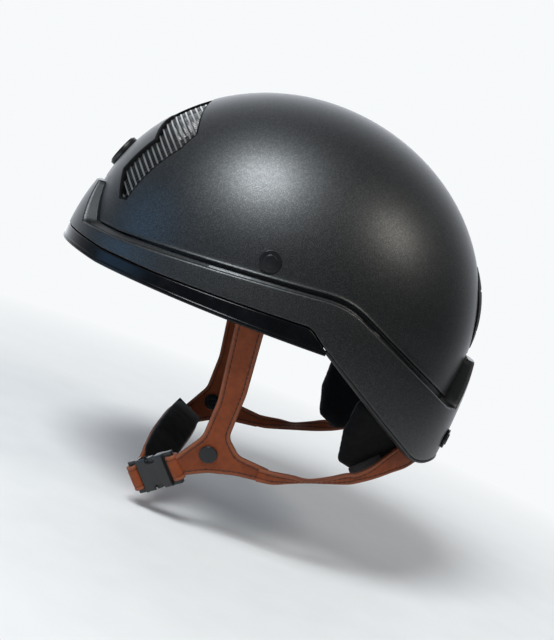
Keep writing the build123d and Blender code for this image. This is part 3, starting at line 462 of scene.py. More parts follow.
WASHER = metal_material("washer_steel", (0.45, 0.45, 0.45), 0.4)
BUCKLE = plastic_material("buckle_black", (0.014, 0.016, 0.018), 0.42, 1300.0, 0.2)
LEATHER_LOOK = leather_material()
FLEECE = fabric_material("black_fleece", (0.0012, 0.0012, 0.0015), 1100.0, 0.04, 0.95, 0.15)
LINING = fabric_material("black_lining", (0.0015, 0.0015, 0.002), 1400.0, 0.05, 0.85, 0.2)
TAPE = fabric_material("hook_tape", (0.012, 0.012, 0.013), 1800.0, 0.2, 0.7)
FOAM = foam_material()
THREAD = thread_material()


def dress(obj, material, body, slot, *nodes):
    """Gives a new piece its material and body, and hides the CAD nodes it stands for."""
    obj.data.materials.clear()
    obj.data.materials.append(material)
    if body:
        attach(obj, body)
    if nodes:
        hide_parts(*nodes)
    return obj


# Outer shell: dome, hard ridge with its groove and ledge, band, rim and inner face

# Small lip along the dome's lower edge: (climb above the groove, how far it stands out)
LIP = ((1.7, 0.03), (1.2, 0.20), (0.85, 0.38), (0.60, 0.48), (0.38, 0.52), (0.18, 0.44), (0.04, 0.24),
       (0.0, 0.0), (0.0, -0.5))
# Groove below the lip: (share of the way down, share of its depth); both fade out along the arches
CHANNEL = ((0.03, 0.80), (0.08, 0.97), (0.14, 1.0), (0.35, 1.0), (0.65, 1.0), (0.86, 1.0), (0.95, 0.98))
ARCH_LEAD, ARCH_FADE = 3.0, 0.85
# Rounding of the ledge's outer edge, rounding of the rim, and the height kept free above the lip
LEDGE_BEND, LEDGE_SHARE, RIM_BEND, LIP_ROOM = 1.2, 0.35, 0.8, 2.2
COLUMNS, DOME_ROWS, INNER_ROWS = 720, 112, 56
PHI = np.arange(COLUMNS) * 2 * math.pi / COLUMNS


def outward(form, phi, z):
    turn, step = 1e-3, 0.05
    a = spot(form, phi + turn, z) - spot(form, phi - turn, z)
    b = spot(form, phi, z + step) - spot(form, phi, z - step)
    return unit(np.cross(a, b))


def build_shell():
    upper = first_height(0, PHI, 0.0)
    edge, face = spot(0, PHI, upper), outward(0, PHI, upper)
    fade = 1 - ARCH_FADE * np.clip((upper - ridge_height(edge[:, 1])) / ARCH_LEAD, 0, 1)
    groove = GROOVE * fade
    lower = first_height(0, PHI, STRIP, groove)
    shelf = first_height(1, PHI, STRIP)
    rim = rim_height(spot(1, PHI, np.zeros(COLUMNS))[:, 1])
    drop = np.array([0.0, 0.0, 1.0])
    rows = []

    def dome_rows(low, count, inset, backwards=False):
        made = []
        low = np.where(low > CENTRE_Z, np.arcsin(np.clip((low - CENTRE_Z) / (RISE - inset), -1, 1)),
                       np.arcsin(np.clip((low - CENTRE_Z) / (DROP - inset), -1, 1)))
        for i in range(count):
            angle = math.pi / 2 + (low - math.pi / 2) * (i + 0.5) / count
            z = CENTRE_Z + np.where(angle > 0, RISE - inset, DROP - inset) * np.sin(angle)
            made.append(spot(0, PHI, z, inset))
        return made[::-1] if backwards else made

    rows += dome_rows(upper + LIP_ROOM, DOME_ROWS, 0.0)
    lean = unit(spot(0, PHI, upper + 1.0) - edge)
    for climb, out in LIP:
        rows.append(edge + lean * climb + face * out * fade[:, None])
    # The rows from here to the ledge's rounding carry the painted shade
    painted_shade_from = len(rows)
    for t, sink in CHANNEL:
        rows.append(spot(0, PHI, upper + (lower - upper) * t) - face * groove[:, None] * sink)
    inner, outer = spot(0, PHI, lower, groove), spot(1, PHI, shelf)
    width = np.linalg.norm(outer - inner, axis=1)[:, None]
    reach = unit(outer - inner)
    fall = unit(spot(1, PHI, shelf - 1.0) - outer)
    for t in (0.0, 0.1, 0.4, 0.7):
        rows.append(inner + (outer - inner) * t)
    painted_shade_to = len(rows)
    radius = np.minimum(LEDGE_BEND, width * LEDGE_SHARE)
    for turn in (0, 22, 45, 68, 90):
        a = math.radians(turn)
        rows.append(outer - reach * radius * (1 - math.sin(a)) + fall * radius * (1 - math.cos(a)))
    start = rows[-1][:, 2]
    for t in np.linspace(0.03, 1.0, 32):
        rows.append(spot(1, PHI, start + (rim + RIM_BEND - start) * t))
    edge, face = spot(1, PHI, rim), outward(1, PHI, rim)
    for turn in (25, 55, 90):
        a = math.radians(turn)
        rows.append(edge + RIM_BEND * (drop * (1 - math.sin(a)) - face * (1 - math.cos(a))))
    rows.append(edge - face * (WALL - RIM_BEND))
    rows.append(edge - face * WALL + drop * RIM_BEND)
    meet = np.minimum(shelf, lower) - 0.5
    for t in np.linspace(0.1, 1.0, 12):
        rows.append(spot(1, PHI, rim + RIM_BEND + (meet - rim - RIM_BEND) * t, WALL))
    rows += dome_rows(meet + 2.0, INNER_ROWS, WALL, backwards=True)
    faces = grid_faces(len(rows), COLUMNS)
    tip, top = len(rows) * COLUMNS, CENTRE_Z + RISE
    points = np.vstack([*rows, [[0, CENTRE_Y, top], [0, CENTRE_Y, top - WALL]]])
    last = (len(rows) - 1) * COLUMNS
    for c in range(COLUMNS):
        n = (c + 1) % COLUMNS
        faces.append((tip, n, c))
        faces.append((tip + 1, last + c, last + n))
    shell = add_object("shell_lacquered", points, faces, SHELL_SMOOTH)
    # The groove and ledge rows get the lacquer's painted shade
    painted_shade = np.zeros(len(points))
    painted_shade[painted_shade_from * COLUMNS:painted_shade_to * COLUMNS] = 1.0
    add_attribute(shell, "painted_shade", painted_shade)
    return shell


VENT = ((0.0, 0.252), (0.203, 0.200), (0.457, 0.107), (0.547, 0.071), (0.587, -0.038),
        (0.578, -0.218), (0.568, -0.391), (0.511, -0.424), (0.361, -0.353), (0.368, -0.143),
        (0.179, -0.067), (0.108, -0.020), (0.0, -0.012))
REAR_VENT = ((0.200, 0.66), (0.275, 0.54), (0.275, 0.33), (0.225, 0.235))
SLOPE = math.sqrt(0.5)
REAR_LAP = 3.0


def mirrored_outline(half):
    """Closed outline from its right half, which may start and end on the middle line."""
    left = [(-x, s) for x, s in reversed(half) if x > 1e-9]
    return [tuple(p) for p in half] + left


VENT_OUTLINE = mirrored_outline([(across(x), up(s)) for x, s in VENT])
REAR_OUTLINE = mirrored_outline([(across(x), up(s)) for x, s in REAR_VENT])


def offset_outline(outline, grow):
    """Outline moved outwards along its corners' bisectors."""
    points = np.array(outline, float)
    before, after = np.roll(points, 1, 0), np.roll(points, -1, 0)
    a, b = unit(points - before), unit(after - points)
    area = 0.5 * np.sum(points[:, 0] * after[:, 1] - after[:, 0] * points[:, 1])
    turn = 1.0 if area > 0 else -1.0
    na, nb = np.stack([a[:, 1], -a[:, 0]], 1) * turn, np.stack([b[:, 1], -b[:, 0]], 1) * turn
    bisector = unit(na + nb)
    return points + bisector * grow / np.clip(np.sum(bisector * na, 1), 0.3, 1)[:, None]


def prism(name, outline, near, far, lift):
    points = [lift(x, s, near) for x, s in outline] + [lift(x, s, far) for x, s in outline]
    return add_object(name, points, end_faces(2, len(outline)) + grid_faces(2, len(outline)))


def on_slope(x, s, t):
    return (x, s * SLOPE - t * SLOPE, s * SLOPE + t * SLOPE)


def cut(obj, cutter):
    modifier(obj, "BOOLEAN", object=cutter, operation="DIFFERENCE", solver="MANIFOLD")
    apply_modifiers(obj)
    bpy.data.objects.remove(cutter)


shell = build_shell()
cut(shell, prism("front_cutter", VENT_OUTLINE, 60.0, 200.0, on_slope))
cut(shell, prism("rear_cutter", offset_outline(REAR_OUTLINE, -REAR_LAP), 70.0, 200.0,
                 lambda x, s, t: (x, t, s)))
shade(shell, SHELL_SMOOTH)
dress(shell, PAINT, "cap", "shell", "outer_shell")


# Front rim trim and rear edge bead, swept round the band

def sweep_band(name, phis, profile):
    """Closed profile of (inset, height) rings at each angle; the height may depend on the angle."""
    rings = [profile(phi) for phi in phis]
    points = []
    for phi, ring in zip(phis, rings):
        for inset, z in ring:
            points.append(spot(1, np.array([phi]), np.array([z]), 0.0, -inset)[0])
    count = len(rings[0])
    return add_object(name, points, tube_faces(len(phis), count), BAND_SMOOTH)


def corner(centre, radius, start, end, steps=5):
    """Arc of a profile, from one angle to another in degrees."""
    turns = [math.radians(start + (end - start) * i / steps) for i in range(steps + 1)]
    return [(centre[0] + radius * math.cos(a), centre[1] + radius * math.sin(a)) for a in turns]


def band_angle(y):
    """Angle at which the band reaches a place along the middle line, near its lower edge."""
    low, high = 0.0, math.pi
    for _ in range(40):
        middle = (low + high) / 2
        low, high = (middle, high) if band_y(middle, TRIM_LEVEL) < y else (low, middle)
    return (low + high) / 2


# Front trim: gap under the rim, reach inwards, roundings within, below and above, flat part of its
# face, and its nose as (inset, climb above the lower edge)
TRIM_GAP, TRIM_REACH, TRIM_IN, TRIM_LOW, TRIM_TOP, TRIM_FLAT = 0.6, 6.4, 0.6, 1.0, 1.1, 3.9
TRIM_NOSE = ((-0.66, 1.9), (-0.35, 2.45), (0.0, 2.75))
# Rear bead: gap under the rim, and rounding and depth of its lower and of its upper edge
BEAD_GAP, BEAD_LOW, BEAD_DROP, BEAD_TOP = 0.02, 0.6, 0.8, 0.5
TRIM_LEVEL, BEAD_LEVEL = 5.0, 0.0


def band_y(phi, level):
    return CENTRE_Y - rho(1, np.array([phi]), np.array([level]))[0] * math.cos(phi)


def trim_profile(phi):
    y = band_y(phi, TRIM_LEVEL)
    top, low = float(rim_height(y)) - TRIM_GAP, float(trim_height(y))
    nose = [(inset, low + climb) for inset, climb in TRIM_NOSE]
    return (corner((TRIM_REACH, low + TRIM_IN), TRIM_IN, 360, 270, 3)
            + corner((0.3, low + TRIM_LOW), TRIM_LOW, 270, 180) + nose
            + [(0.0, nose[-1][1] + (top - low - TRIM_FLAT) * t) for t in (0.3, 0.7)]
            + corner((TRIM_TOP, top - TRIM_TOP), TRIM_TOP, 180, 90)
            + corner((TRIM_REACH, top - TRIM_IN), TRIM_IN, 90, 0, 3))


def bead_profile(phi):
    top = float(rim_height(band_y(phi, BEAD_LEVEL))) - BEAD_GAP
    return (corner((3.5, top - BEAD_DROP), BEAD_LOW, 360, 270, 4)
            + corner((0.2, top - BEAD_DROP), BEAD_LOW, 270, 180)
            + corner((0.1, top - BEAD_TOP), BEAD_TOP, 180, 90)
            + corner((3.6, top - BEAD_TOP), BEAD_TOP, 90, 0, 4))


TRIM_END = band_angle(along(0.239))
BEAD_START = band_angle(along(0.240))
trim = sweep_band("rim_trim", np.linspace(-TRIM_END, TRIM_END, 361), trim_profile)
dress(trim, TRIM, "cap", "trim", "front_rim_trim")
bead = sweep_band("edge_bead", np.linspace(BEAD_START, 2 * math.pi - BEAD_START, 341), bead_profile)
dress(bead, BEAD, "cap", "bead", "rear_edge_trim")


# Flat pieces cut to an outline and laid on a surface

def inside(outline, points):
    """Which points lie in a closed outline."""
    outline = np.asarray(outline, float)
    x, y = points[:, 0], points[:, 1]
    within = np.zeros(len(points), bool)
    for (x0, y0), (x1, y1) in zip(outline, np.roll(outline, -1, 0)):
        crosses = (y0 > y) != (y1 > y)
        at = x0 + (y - y0) * (x1 - x0) / np.where(y1 == y0, 1e-12, y1 - y0)
        within ^= crosses & (x < at)
    return within


def beside(point, line):
    """Whether a point lies on a straight line between two points."""
    near = 0.7
    a, b = np.asarray(line, float)
    t = max(0.0, min(1.0, float((point - a) @ (b - a) / ((b - a) @ (b - a)))))
    return np.linalg.norm(point - a - t * (b - a)) < near


def edge_distance(outline, points, open_ends=()):
    """Distance from points to a closed outline, leaving out the straight ends where leather runs on."""
    outline = np.asarray(outline, float)
    best = np.full(len(points), np.inf)
    for a, b in zip(outline, np.roll(outline, -1, 0)):
        if any(beside((a + b) / 2, line) for line in open_ends):
            continue
        d = b - a
        t = np.clip(((points - a) @ d) / max(d @ d, 1e-12), 0, 1)
        best = np.minimum(best, np.linalg.norm(points - a - t[:, None] * d, axis=1))
    return best


def resample(outline, step):
    """Points at even steps round a closed outline."""
    outline = np.asarray(outline, float)
    ends = np.vstack([outline, outline[:1]])
    lengths = run_lengths(ends)
    count = max(3, int(lengths[-1] / step))
    return read_at(np.linspace(0, lengths[-1], count, endpoint=False), lengths, ends)


def cut_sheet(name, outline, surface, thickness, step, edge_step, open_ends=()):
    """Closed piece over an outline. surface maps points to places and outward normals;
    thickness gives half of the piece's depth from the distance to its edge."""
    border = resample(outline, edge_step)
    low, high = border.min(0), border.max(0)
    grid = np.stack(np.meshgrid(np.arange(low[0], high[0], step), np.arange(low[1], high[1], step)),
                    -1).reshape(-1, 2)
    grid = grid[inside(border, grid)]
    grid = grid[edge_distance(border, grid) > 0.45 * step]
    flat = np.vstack([border, grid])
    count = len(border)
    edges = [(i, (i + 1) % count) for i in range(count)]
    verts, _, faces, origin, _, _ = geometry.delaunay_2d_cdt(
        [Vector(p) for p in flat], edges, [], 1, 1e-6)
    verts = np.array([tuple(v) for v in verts])
    distance = edge_distance(border, verts, open_ends)
    distance[distance < 1e-4] = 0
    places, normals = surface(verts)
    depth = thickness(distance, verts)
    total = len(verts)
    points = np.vstack([places + normals * depth[:, None], places - normals * depth[:, None]])
    made = [tuple(f) for f in faces] + [tuple(total + i for i in reversed(f)) for f in faces]
    index = {}
    for i, source in enumerate(origin):
        for s in source:
            index[s] = i
    loop = [index[i] for i in range(count)]
    for a, b in zip(loop, loop[1:] + loop[:1]):
        made.append((a, b, total + b, total + a))
    obj = add_object(name, points, made, SOFT_SMOOTH)
    add_attribute(obj, "edge", np.concatenate([distance, distance]))
    return obj


# Leather's cross-section: share left at the cut edge, width of its rounding, and the raised fold
CUT_SHARE, CUT_WIDTH, FOLD_RISE, FOLD_INSET, FOLD_WIDTH = 0.42, 0.9, 0.12, 1.3, 0.7


def leather_depth(distance, *_):
    """Half thickness of folded leather: rounded edge, raised fold and a stitched groove."""
    d = np.asarray(distance, float)
    edge = CUT_SHARE + (1 - CUT_SHARE) * np.sqrt(1 - (1 - np.clip(d / CUT_WIDTH, 0, 1)) ** 2)
    fold = FOLD_RISE * np.exp(-((d - FOLD_INSET) / FOLD_WIDTH) ** 2)
    groove = SEAM_DEPTH * np.exp(-((d - SEAM_INSET) / SEAM_WIDTH) ** 2)
    return LEATHER / 2 * edge + fold - groove


# Harness

DRAPE = ((0.918, 0.46), (0.918, 0.33), (0.918, 0.118), (0.899, -0.025), (0.848, -0.21),
         (0.789, -0.42), (0.731, -0.63), (0.682, -0.798), (0.645, -0.93))
drape_line = catmull([(across(x), up(z)) for x, z in DRAPE], 12)


def drape(side):
    def surface(verts):
        y, z = verts[:, 0], verts[:, 1]
        line, step = drape_line[::-1], 1.0
        x, above, below = (np.interp(z + d, line[:, 1], line[:, 0]) for d in (0.0, step, -step))
        slope = (above - below) / (2 * step)
        normals = unit(np.stack([np.ones_like(x), np.zeros_like(x), -slope], 1))
        places = np.stack([x, y, z], 1)
        return places * mirrored(side), normals * mirrored(side)
    return surface


YOKE = ((-0.181, 0.395), (-0.160, -0.034), (-0.107, -0.42), (-0.112, -0.62), (-0.196, -0.775),
        (-0.115, -0.851), (-0.031, -0.800), (0.091, -0.762), (0.226, -0.744), (0.226, -0.670),
        (0.075, -0.655), (0.004, -0.58), (0.004, -0.336), (-0.028, -0.025), (-0.058, 0.395))
YOKE_BENDS = (7.0, 60.0, 40.0, 12.0, 1.5, 1.5, 20.0, 40.0, 1.0, 1.0, 9.0, 9.0, 60.0, 60.0, 7.0)
yoke_outline = rounded([(along(y), up(z)) for y, z in YOKE], YOKE_BENDS, 10, close=True)
# The leather runs on into the buckle's loop and into the rear arm
YOKE_ENDS = [[(along(y), up(z)) for y, z in (YOKE[i], YOKE[i + 1])] for i in (4, 8)]


def thread(name, places, directions, normals):
    """Row of stitches, each a rounded grain of thread that lies along its direction."""
    ring, rows, tip = 8, 5, 0.06
    points, faces = [], []
    for place_at, direction, normal in zip(places, directions, normals):
        side = np.cross(normal, direction)
        first = len(points)
        for r in range(rows):
            t = math.pi * (tip + (1 - 2 * tip) * r / (rows - 1))
            for k in range(ring):
                a = 2 * math.pi * k / ring
                around = side * math.cos(a) + normal * math.sin(a)
                points.append(place_at - direction * STITCH_LENGTH / 2 * math.cos(t)
                              + STITCH_RADIUS * math.sin(t) * around)
        faces += tube_faces(rows, ring, first)
    return add_object(name, points, faces, STITCH_SMOOTH)


def join(name, objs):
    with bpy.context.temp_override(active_object=objs[0], selected_editable_objects=objs,
                                   selected_objects=objs, object=objs[0]):
        bpy.ops.object.join()
    objs[0].name = name
    return objs[0]


def stitched(outline, surface, open_ends):
    """Stitches that follow an outline at a distance inside it, on both faces."""
    slack = 0.08
    line = resample(outline, 0.5)
    before, after = np.roll(line, 1, 0), np.roll(line, -1, 0)
    run = unit(after - before)
    area = np.sum(line[:, 0] * after[:, 1] - after[:, 0] * line[:, 1])
    inward = np.stack([-run[:, 1], run[:, 0]], 1) * (1 if area > 0 else -1)
    moved = line + inward * SEAM_INSET
    keep = edge_distance(line, moved, open_ends) > SEAM_INSET - slack
    keep &= ~np.array([any(beside(point, end) for end in open_ends) for point in line])
    moved, run = moved[keep], run[keep]
    lengths = run_lengths(moved)
    wanted = np.arange(STITCH_PITCH / 2, lengths[-1], STITCH_PITCH)
    spots = np.unique(np.searchsorted(lengths, wanted))
    flat = moved[spots]
    ahead = flat + run[spots] * 0.5
    places, normals = surface(flat)
    ahead, _ = surface(ahead)
    directions = unit(ahead - places)
    made = []
    for face in (1, -1):
        made.append((places + normals * face * (LEATHER / 2 - SEAM_SINK), directions, normals * face))
    return [np.concatenate(group) for group in zip(*made)]


def axes(origin, x, z):
    """Right-handed frame as a 3 by 4 array of origin, x, y and z."""
    z = unit(z)
    x = np.asarray(x, float)
    x = unit(x - z * (x @ z))
    return np.array([origin, x, np.cross(z, x), z])


BAR, BAR_GAP, STRAP = 1.5, 0.3, 16.0
loop_z = up((-0.775 - 0.851) / 2)
loop_y = along((-0.196 - 0.115) / 2)
loop_x = np.interp(loop_z, [up(z) for x, z in DRAPE[::-1]], [across(x) for x, z in DRAPE[::-1]])
buckle_x = unit((-0.40, -0.69, -0.60))
buckle_z = unit(np.cross(buckle_x, (0.0, 0.71, -0.70)))
buckle_origin = np.array([loop_x, loop_y, loop_z]) + buckle_x * (BAR + LEATHER)
BUCKLE_FRAME = axes(buckle_origin, buckle_x, buckle_z)

CHIN = ((0.475, -0.295, -0.928), (0.345, -0.272, -0.880), (0.180, -0.248, -0.832),
        (0.0, -0.222, -0.788), (-0.180, -0.200, -0.755), (-0.360, -0.180, -0.745),
        (-0.50, -0.175, -0.775))
CHIN_ACROSS = ((0.0, 0.82, -0.57), (0.0, 0.90, -0.43), (0.0, 0.95, -0.31), (0.0, 0.96, -0.27),
               (0.0, 0.96, -0.27), (0.0, 0.93, -0.37), (0.0, 0.86, -0.51))
slider_bar, slider_origin = BUCKLE_FRAME[2] * mirrored(-1), buckle_origin * mirrored(-1)
slider_normal = unit(np.cross(place(CHIN[-1]) - slider_origin, slider_bar))
SLIDER_FRAME = axes(slider_origin, np.cross(slider_bar, slider_normal), slider_normal)
MALE_BAR, SLIDER_FAR = 27.9, 10.0


def in_frame(frame_axes, local):
    return frame_axes[0] + frame_axes[1:].T @ np.asarray(local, float)


def strap_loop(name, frame_axes, position):
    """Leather turned round a bar, with rounded edges."""
    ring, chamfer, bend, seam_depth, seam_width = 40, 0.5, 0.9, 0.26, 0.45
    inner, outer, half = BAR + BAR_GAP, BAR + BAR_GAP + LEATHER, STRAP / 2
    profile = [(inner, -half + chamfer), (inner + chamfer, -half)]
    profile += corner((outer - bend, -half + bend), bend, -90, 0)
    for y in np.linspace(-half + bend + chamfer, half - bend - chamfer, 14):
        off_seam = (half - abs(y) - SEAM_INSET) / seam_width
        profile.append((outer - seam_depth * math.exp(-off_seam ** 2), y))
    profile += corner((outer - bend, half - bend), bend, 0, 90)
    profile += [(inner + chamfer, half), (inner, half - chamfer)]
    points, edge = [], []
    for k in range(ring):
        a = 2 * math.pi * k / ring
        for r, y in profile:
            points.append(in_frame(frame_axes, (position + r * math.cos(a), y, r * math.sin(a))))
            edge.append(half - abs(y))
    obj = add_object(name, points, grid_faces(ring, len(profile), ring=True), SOFT_SMOOTH)
    add_attribute(obj, "edge", edge)
    return obj


def turned(vector, axis, degrees):
    a = math.radians(degrees)
    vector, axis = np.asarray(vector, float), unit(axis)
    return (vector * math.cos(a) + np.cross(axis, vector) * math.sin(a)
            + axis * (axis @ vector) * (1 - math.cos(a)))


def travel(points):
    ends = np.vstack([points[:1], points, points[-1:]])
    return unit(ends[2:] - ends[:-2])


def ribbon_path(centres, crosses, widths, steps=14):
    """Smooth centres, square crosses, normals and widths along a strap."""
    crosses = [np.asarray(c, float) for c in crosses]
    for i in range(1, len(crosses)):
        if crosses[i] @ crosses[i - 1] < 0:
            crosses[i] = -crosses[i]
    centres = catmull(centres, steps)
    crosses = catmull(crosses, steps)
    widths = catmull([np.array([w]) for w in widths], steps)[:, 0]
    directions = travel(centres)
    normals = unit(np.cross(directions, crosses))
    return centres, np.cross(normals, directions), normals, widths


def ribbon(name, path, slim):
    """Strap along a path; slim gives the share of the leather's thickness left at each centre."""
    centres, crosses, normals, widths = path
    lanes, edge_share, crowded = 26, 0.30, 0.45
    shares = np.linspace(-1, 1, lanes)
    shares = crowded * np.sin(shares * math.pi / 2) + (1 - crowded) * shares
    points, edge = [], []
    for centre, cross, normal, width in zip(centres, crosses, normals, widths):
        u = shares * width / 2
        d = width / 2 - np.abs(u)
        t = leather_depth(d) * slim(centre)
        t[0] = t[-1] = edge_share * LEATHER / 2
        upper = centre + u[:, None] * cross + t[:, None] * normal
        lower = centre + u[::-1, None] * cross - t[::-1, None] * normal
        points += [upper, lower]
        edge += [d, d[::-1]]
    faces = tube_faces(len(centres), 2 * lanes)
    obj = add_object(name, np.concatenate(points), faces, RIBBON_SMOOTH)
    add_attribute(obj, "edge", np.concatenate(edge))
    return obj


def ribbon_stitches(path, pitch=STITCH_PITCH, start=0.0, end=1.0):
    """Places, directions and normals of the stitches beside both edges of a strap."""
    centres, crosses, normals, widths = path
    lengths = run_lengths(centres)
    wanted = np.arange(lengths[-1] * start + pitch / 2, lengths[-1] * end, pitch)
    made = []
    for sign in (1, -1):
        line = centres + crosses * (sign * (widths / 2 - SEAM_INSET))[:, None]
        for face in (1, -1):
            raised = line + normals * face * (LEATHER / 2 - SEAM_SINK)
            run = unit(read_at(wanted, lengths, travel(raised)))
            out = unit(read_at(wanted, lengths, normals * face))
            made.append((read_at(wanted, lengths, raised), run, out))
    return [np.concatenate(group) for group in zip(*made)]


ARM = ((0.728, 0.185, -0.711), (0.722, 0.257, -0.702), (0.710, 0.332, -0.681), (0.700, 0.408, -0.661),
       (0.691, 0.498, -0.622), (0.684, 0.572, -0.585))
ARM_TWISTS = (6.0, 20.0, 45.0, 70.0, 55.0, 30.0)
NAPE = ((0.668, 0.618, -0.566), (0.650, 0.684, -0.510), (0.610, 0.750, -0.437), (0.548, 0.815, -0.378),
        (0.430, 0.896, -0.318))
NAPE_NORMALS = ((0.98, 0.2, -0.25), (0.95, 0.3, -0.25), (0.88, 0.45, -0.2),
                (0.76, 0.65, -0.05), (0.5, 0.86, 0.0))
NAPE_WIDTHS = (0.42, 0.58, 0.95, 1.2, 1.12, 0.8)
NAPE_WIDTH, ARM_WIDTH, TONGUE_WIDTH, WASHER_ROOM = 16.5, 8.6, 8.9, 0.6


def rear_rivet():
    x, z = across(0.269), up(-0.268)
    reach = 1 - (x / BAND_HALF_WIDTH) ** 2 - (z / BAND_DROP) ** 2
    y = CENTRE_Y + BAND_REAR * math.sqrt(reach)
    normal = unit((x / BAND_HALF_WIDTH ** 2, y / BAND_REAR ** 2, z / BAND_DROP ** 2))
    return np.array([x, y, z]), normal


def side_path(side):
    """Rear arm and nape strap as one path, from the yoke's tongue to the rear rivet."""
    arm = np.array([place(s) for s in ARM])
    run = travel(arm)
    crosses = [turned(unit(np.cross(d, (1.0, 0.0, 0.0))), d, t) for d, t in zip(run, ARM_TWISTS)]
    rivet, outward_at = rear_rivet()
    nape = np.array([place(s) for s in NAPE])
    end = rivet - outward_at * (WALL + WASHER_ROOM + LEATHER / 2)
    centres = np.vstack([arm, nape, [end]])
    nape_run = travel(np.vstack([arm[-1:], nape, [end]]))[1:]
    crosses += [unit(np.cross(d, n)) for d, n in zip(nape_run, [*NAPE_NORMALS, outward_at])]
    widths = [TONGUE_WIDTH] * 2 + [ARM_WIDTH] * (len(arm) - 2)
    widths += [NAPE_WIDTH * w for w in NAPE_WIDTHS]
    path = ribbon_path(centres, crosses, widths)
    return tuple(p * mirrored(side) if p.ndim == 2 else p for p in path)


def blend_nape(pieces):
    """Bakes the transforms of pieces at the nape into their meshes."""
    for piece in pieces:
        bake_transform(piece)


for side, word in ((1, "left"), (-1, "right")):
    yoke = cut_sheet("yoke_leather_" + word, yoke_outline, drape(side), leather_depth, 0.75, 0.6,
                     open_ends=YOKE_ENDS)
    dress(yoke, LEATHER_LOOK, "harness", "leather", "yoke_" + word)
    loop = strap_loop("yoke_loop_" + word, BUCKLE_FRAME if side > 0 else SLIDER_FRAME, 0.0)
    dress(loop, LEATHER_LOOK, "harness", "leather")
    seam = thread("yoke_stitches_" + word, *stitched(yoke_outline, drape(side), YOKE_ENDS))
    dress(seam, THREAD, "harness", "leather")
    path = side_path(side)
    # The arm's first part lies between the yoke's two faces
    strap = ribbon("nape_strap_leather_" + word, path,
                   lambda centre: 0.96 if centre[1] < along(YOKE[8][0]) else 1.0)
    dress(strap, LEATHER_LOOK, None, "leather", "nape_strap_" + word)
    seam = thread("nape_stitches_" + word, *ribbon_stitches(path, 3.2, 0.03, 0.97))
    dress(seam, THREAD, None, "leather")
    blend_nape((strap, seam))


CHIN_WIDTHS = (1.0, 1.0, 1.0, 1.25, 1.45, 1.5, 1.45, 1.20, 0.94, 0.87, 0.86)
reach, lead = BAR + BAR_GAP + LEATHER / 2, 4.0
chin_centres = [*[in_frame(BUCKLE_FRAME, (MALE_BAR + reach, 0, drop)) for drop in (0, -lead)],
                *[place(s) for s in CHIN],
                *[in_frame(SLIDER_FRAME, (SLIDER_FAR + run, 0, reach)) for run in (lead, 0)]]
chin_crosses = [BUCKLE_FRAME[2]] * 2 + list(CHIN_ACROSS) + [SLIDER_FRAME[2]] * 2
chin_path = ribbon_path(chin_centres, chin_crosses, [STRAP * w for w in CHIN_WIDTHS])


def pressed(centre):
    """The leather is pressed thinner near the slider, where the keeper slides over it."""
    thin, near, lead = 0.80, 25.0, 5.0
    away = (np.linalg.norm(centre - chin_centres[-1]) - near) / lead
    return thin + (1 - thin) * min(1.0, max(0.0, away))


chin = ribbon("chin_strap_leather", chin_path, pressed)
dress(chin, LEATHER_LOOK, None, "leather", "chin_strap")
chin_seam = thread("chin_stitches", *ribbon_stitches(chin_path))
dress(chin_seam, THREAD, None, "leather")
buckle_loop = strap_loop("chin_loop_buckle", BUCKLE_FRAME, MALE_BAR)
dress(buckle_loop, LEATHER_LOOK, "buckle_plug", "leather")
slider_loop = strap_loop("chin_loop_slider", SLIDER_FRAME, SLIDER_FAR)
dress(slider_loop, LEATHER_LOOK, "harness", "leather")


CHIN_PAD_WIDTH, CHIN_PAD_THICK, CHIN_PAD_END, CHIN_PAD_GAP = 21.5, 6.0, 11.0, 0.3
CHIN_PAD_SHARES = ((0.80, 0.50), (0.96, 0.92), (1.0, 1.0), (1.0, 1.0), (0.98, 0.95), (0.85, 0.50))


def chin_pad_piece():
    """Fleece cushion on the strap's inner side, over its pad stations."""
    centres, crosses, normals, _ = ribbon_path(chin_centres, chin_crosses, [1.0] * len(chin_centres))
    steps = (len(centres) - 1) // (len(chin_centres) - 1)
    first, last = 2 * steps, 7 * steps
    shares = catmull(CHIN_PAD_SHARES, steps)
    # Squareness of the cross-section, and its shares of width and thickness at the very ends
    ring, square_u, square_v, low_u, low_v = 40, 0.55, 0.62, 0.12, 0.20
    points = []
    run = run_lengths(centres[first:last + 1])
    for i in range(first, last + 1):
        width, thick = np.array([CHIN_PAD_WIDTH, CHIN_PAD_THICK]) * shares[i - first]
        left = min(run[i - first], run[-1] - run[i - first]) / CHIN_PAD_END
        end = math.sqrt(1 - (1 - min(left, 1.0)) ** 2)
        centre = centres[i] - normals[i] * (LEATHER / 2 + CHIN_PAD_GAP + thick / 2)
        for k in range(ring):
            a = 2 * math.pi * k / ring
            c, s = math.cos(a), math.sin(a)
            u = math.copysign(abs(c) ** square_u, c) * width / 2 * (low_u + (1 - low_u) * end)
            v = math.copysign(abs(s) ** square_v, s) * thick / 2 * (low_v + (1 - low_v) * end)
            points.append(centre + crosses[i] * u + normals[i] * v)
    return add_object("chin_pad_fleece", points, tube_faces(last - first + 1, ring), PAD_SMOOTH)


def fuzz(obj, amount, scale):
    """Uneven pile: the mesh is divided and moved along its normals by fixed noise."""
    modifier(obj, "SUBSURF", levels=1, render_levels=1)
    texture = bpy.data.textures.new(obj.name + "_pile", "CLOUDS")
    texture.noise_scale = scale
    modifier(obj, "DISPLACE", texture=texture, strength=amount * MM, mid_level=0.5,
             texture_coords="LOCAL")
    apply_modifiers(obj)
    obj.data.shade_smooth()


chin_pad = chin_pad_piece()
fuzz(chin_pad, 0.5, 0.007)
dress(chin_pad, FLEECE, None, "fleece", "chin_pad")
for piece in (chin, chin_seam, chin_pad):
    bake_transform(piece)


# Pads

def pillow(height, rise):
    """Half depth of a stuffed pad: steep at its edge and crowned in the middle."""
    least, crown = 0.25, 0.10

    def depth(distance, *_):
        d = np.clip(distance / rise, 0, 1)
        return np.maximum(least, height * np.sqrt(1 - (1 - d) ** 2) * (1 - crown + crown * d))
    return depth


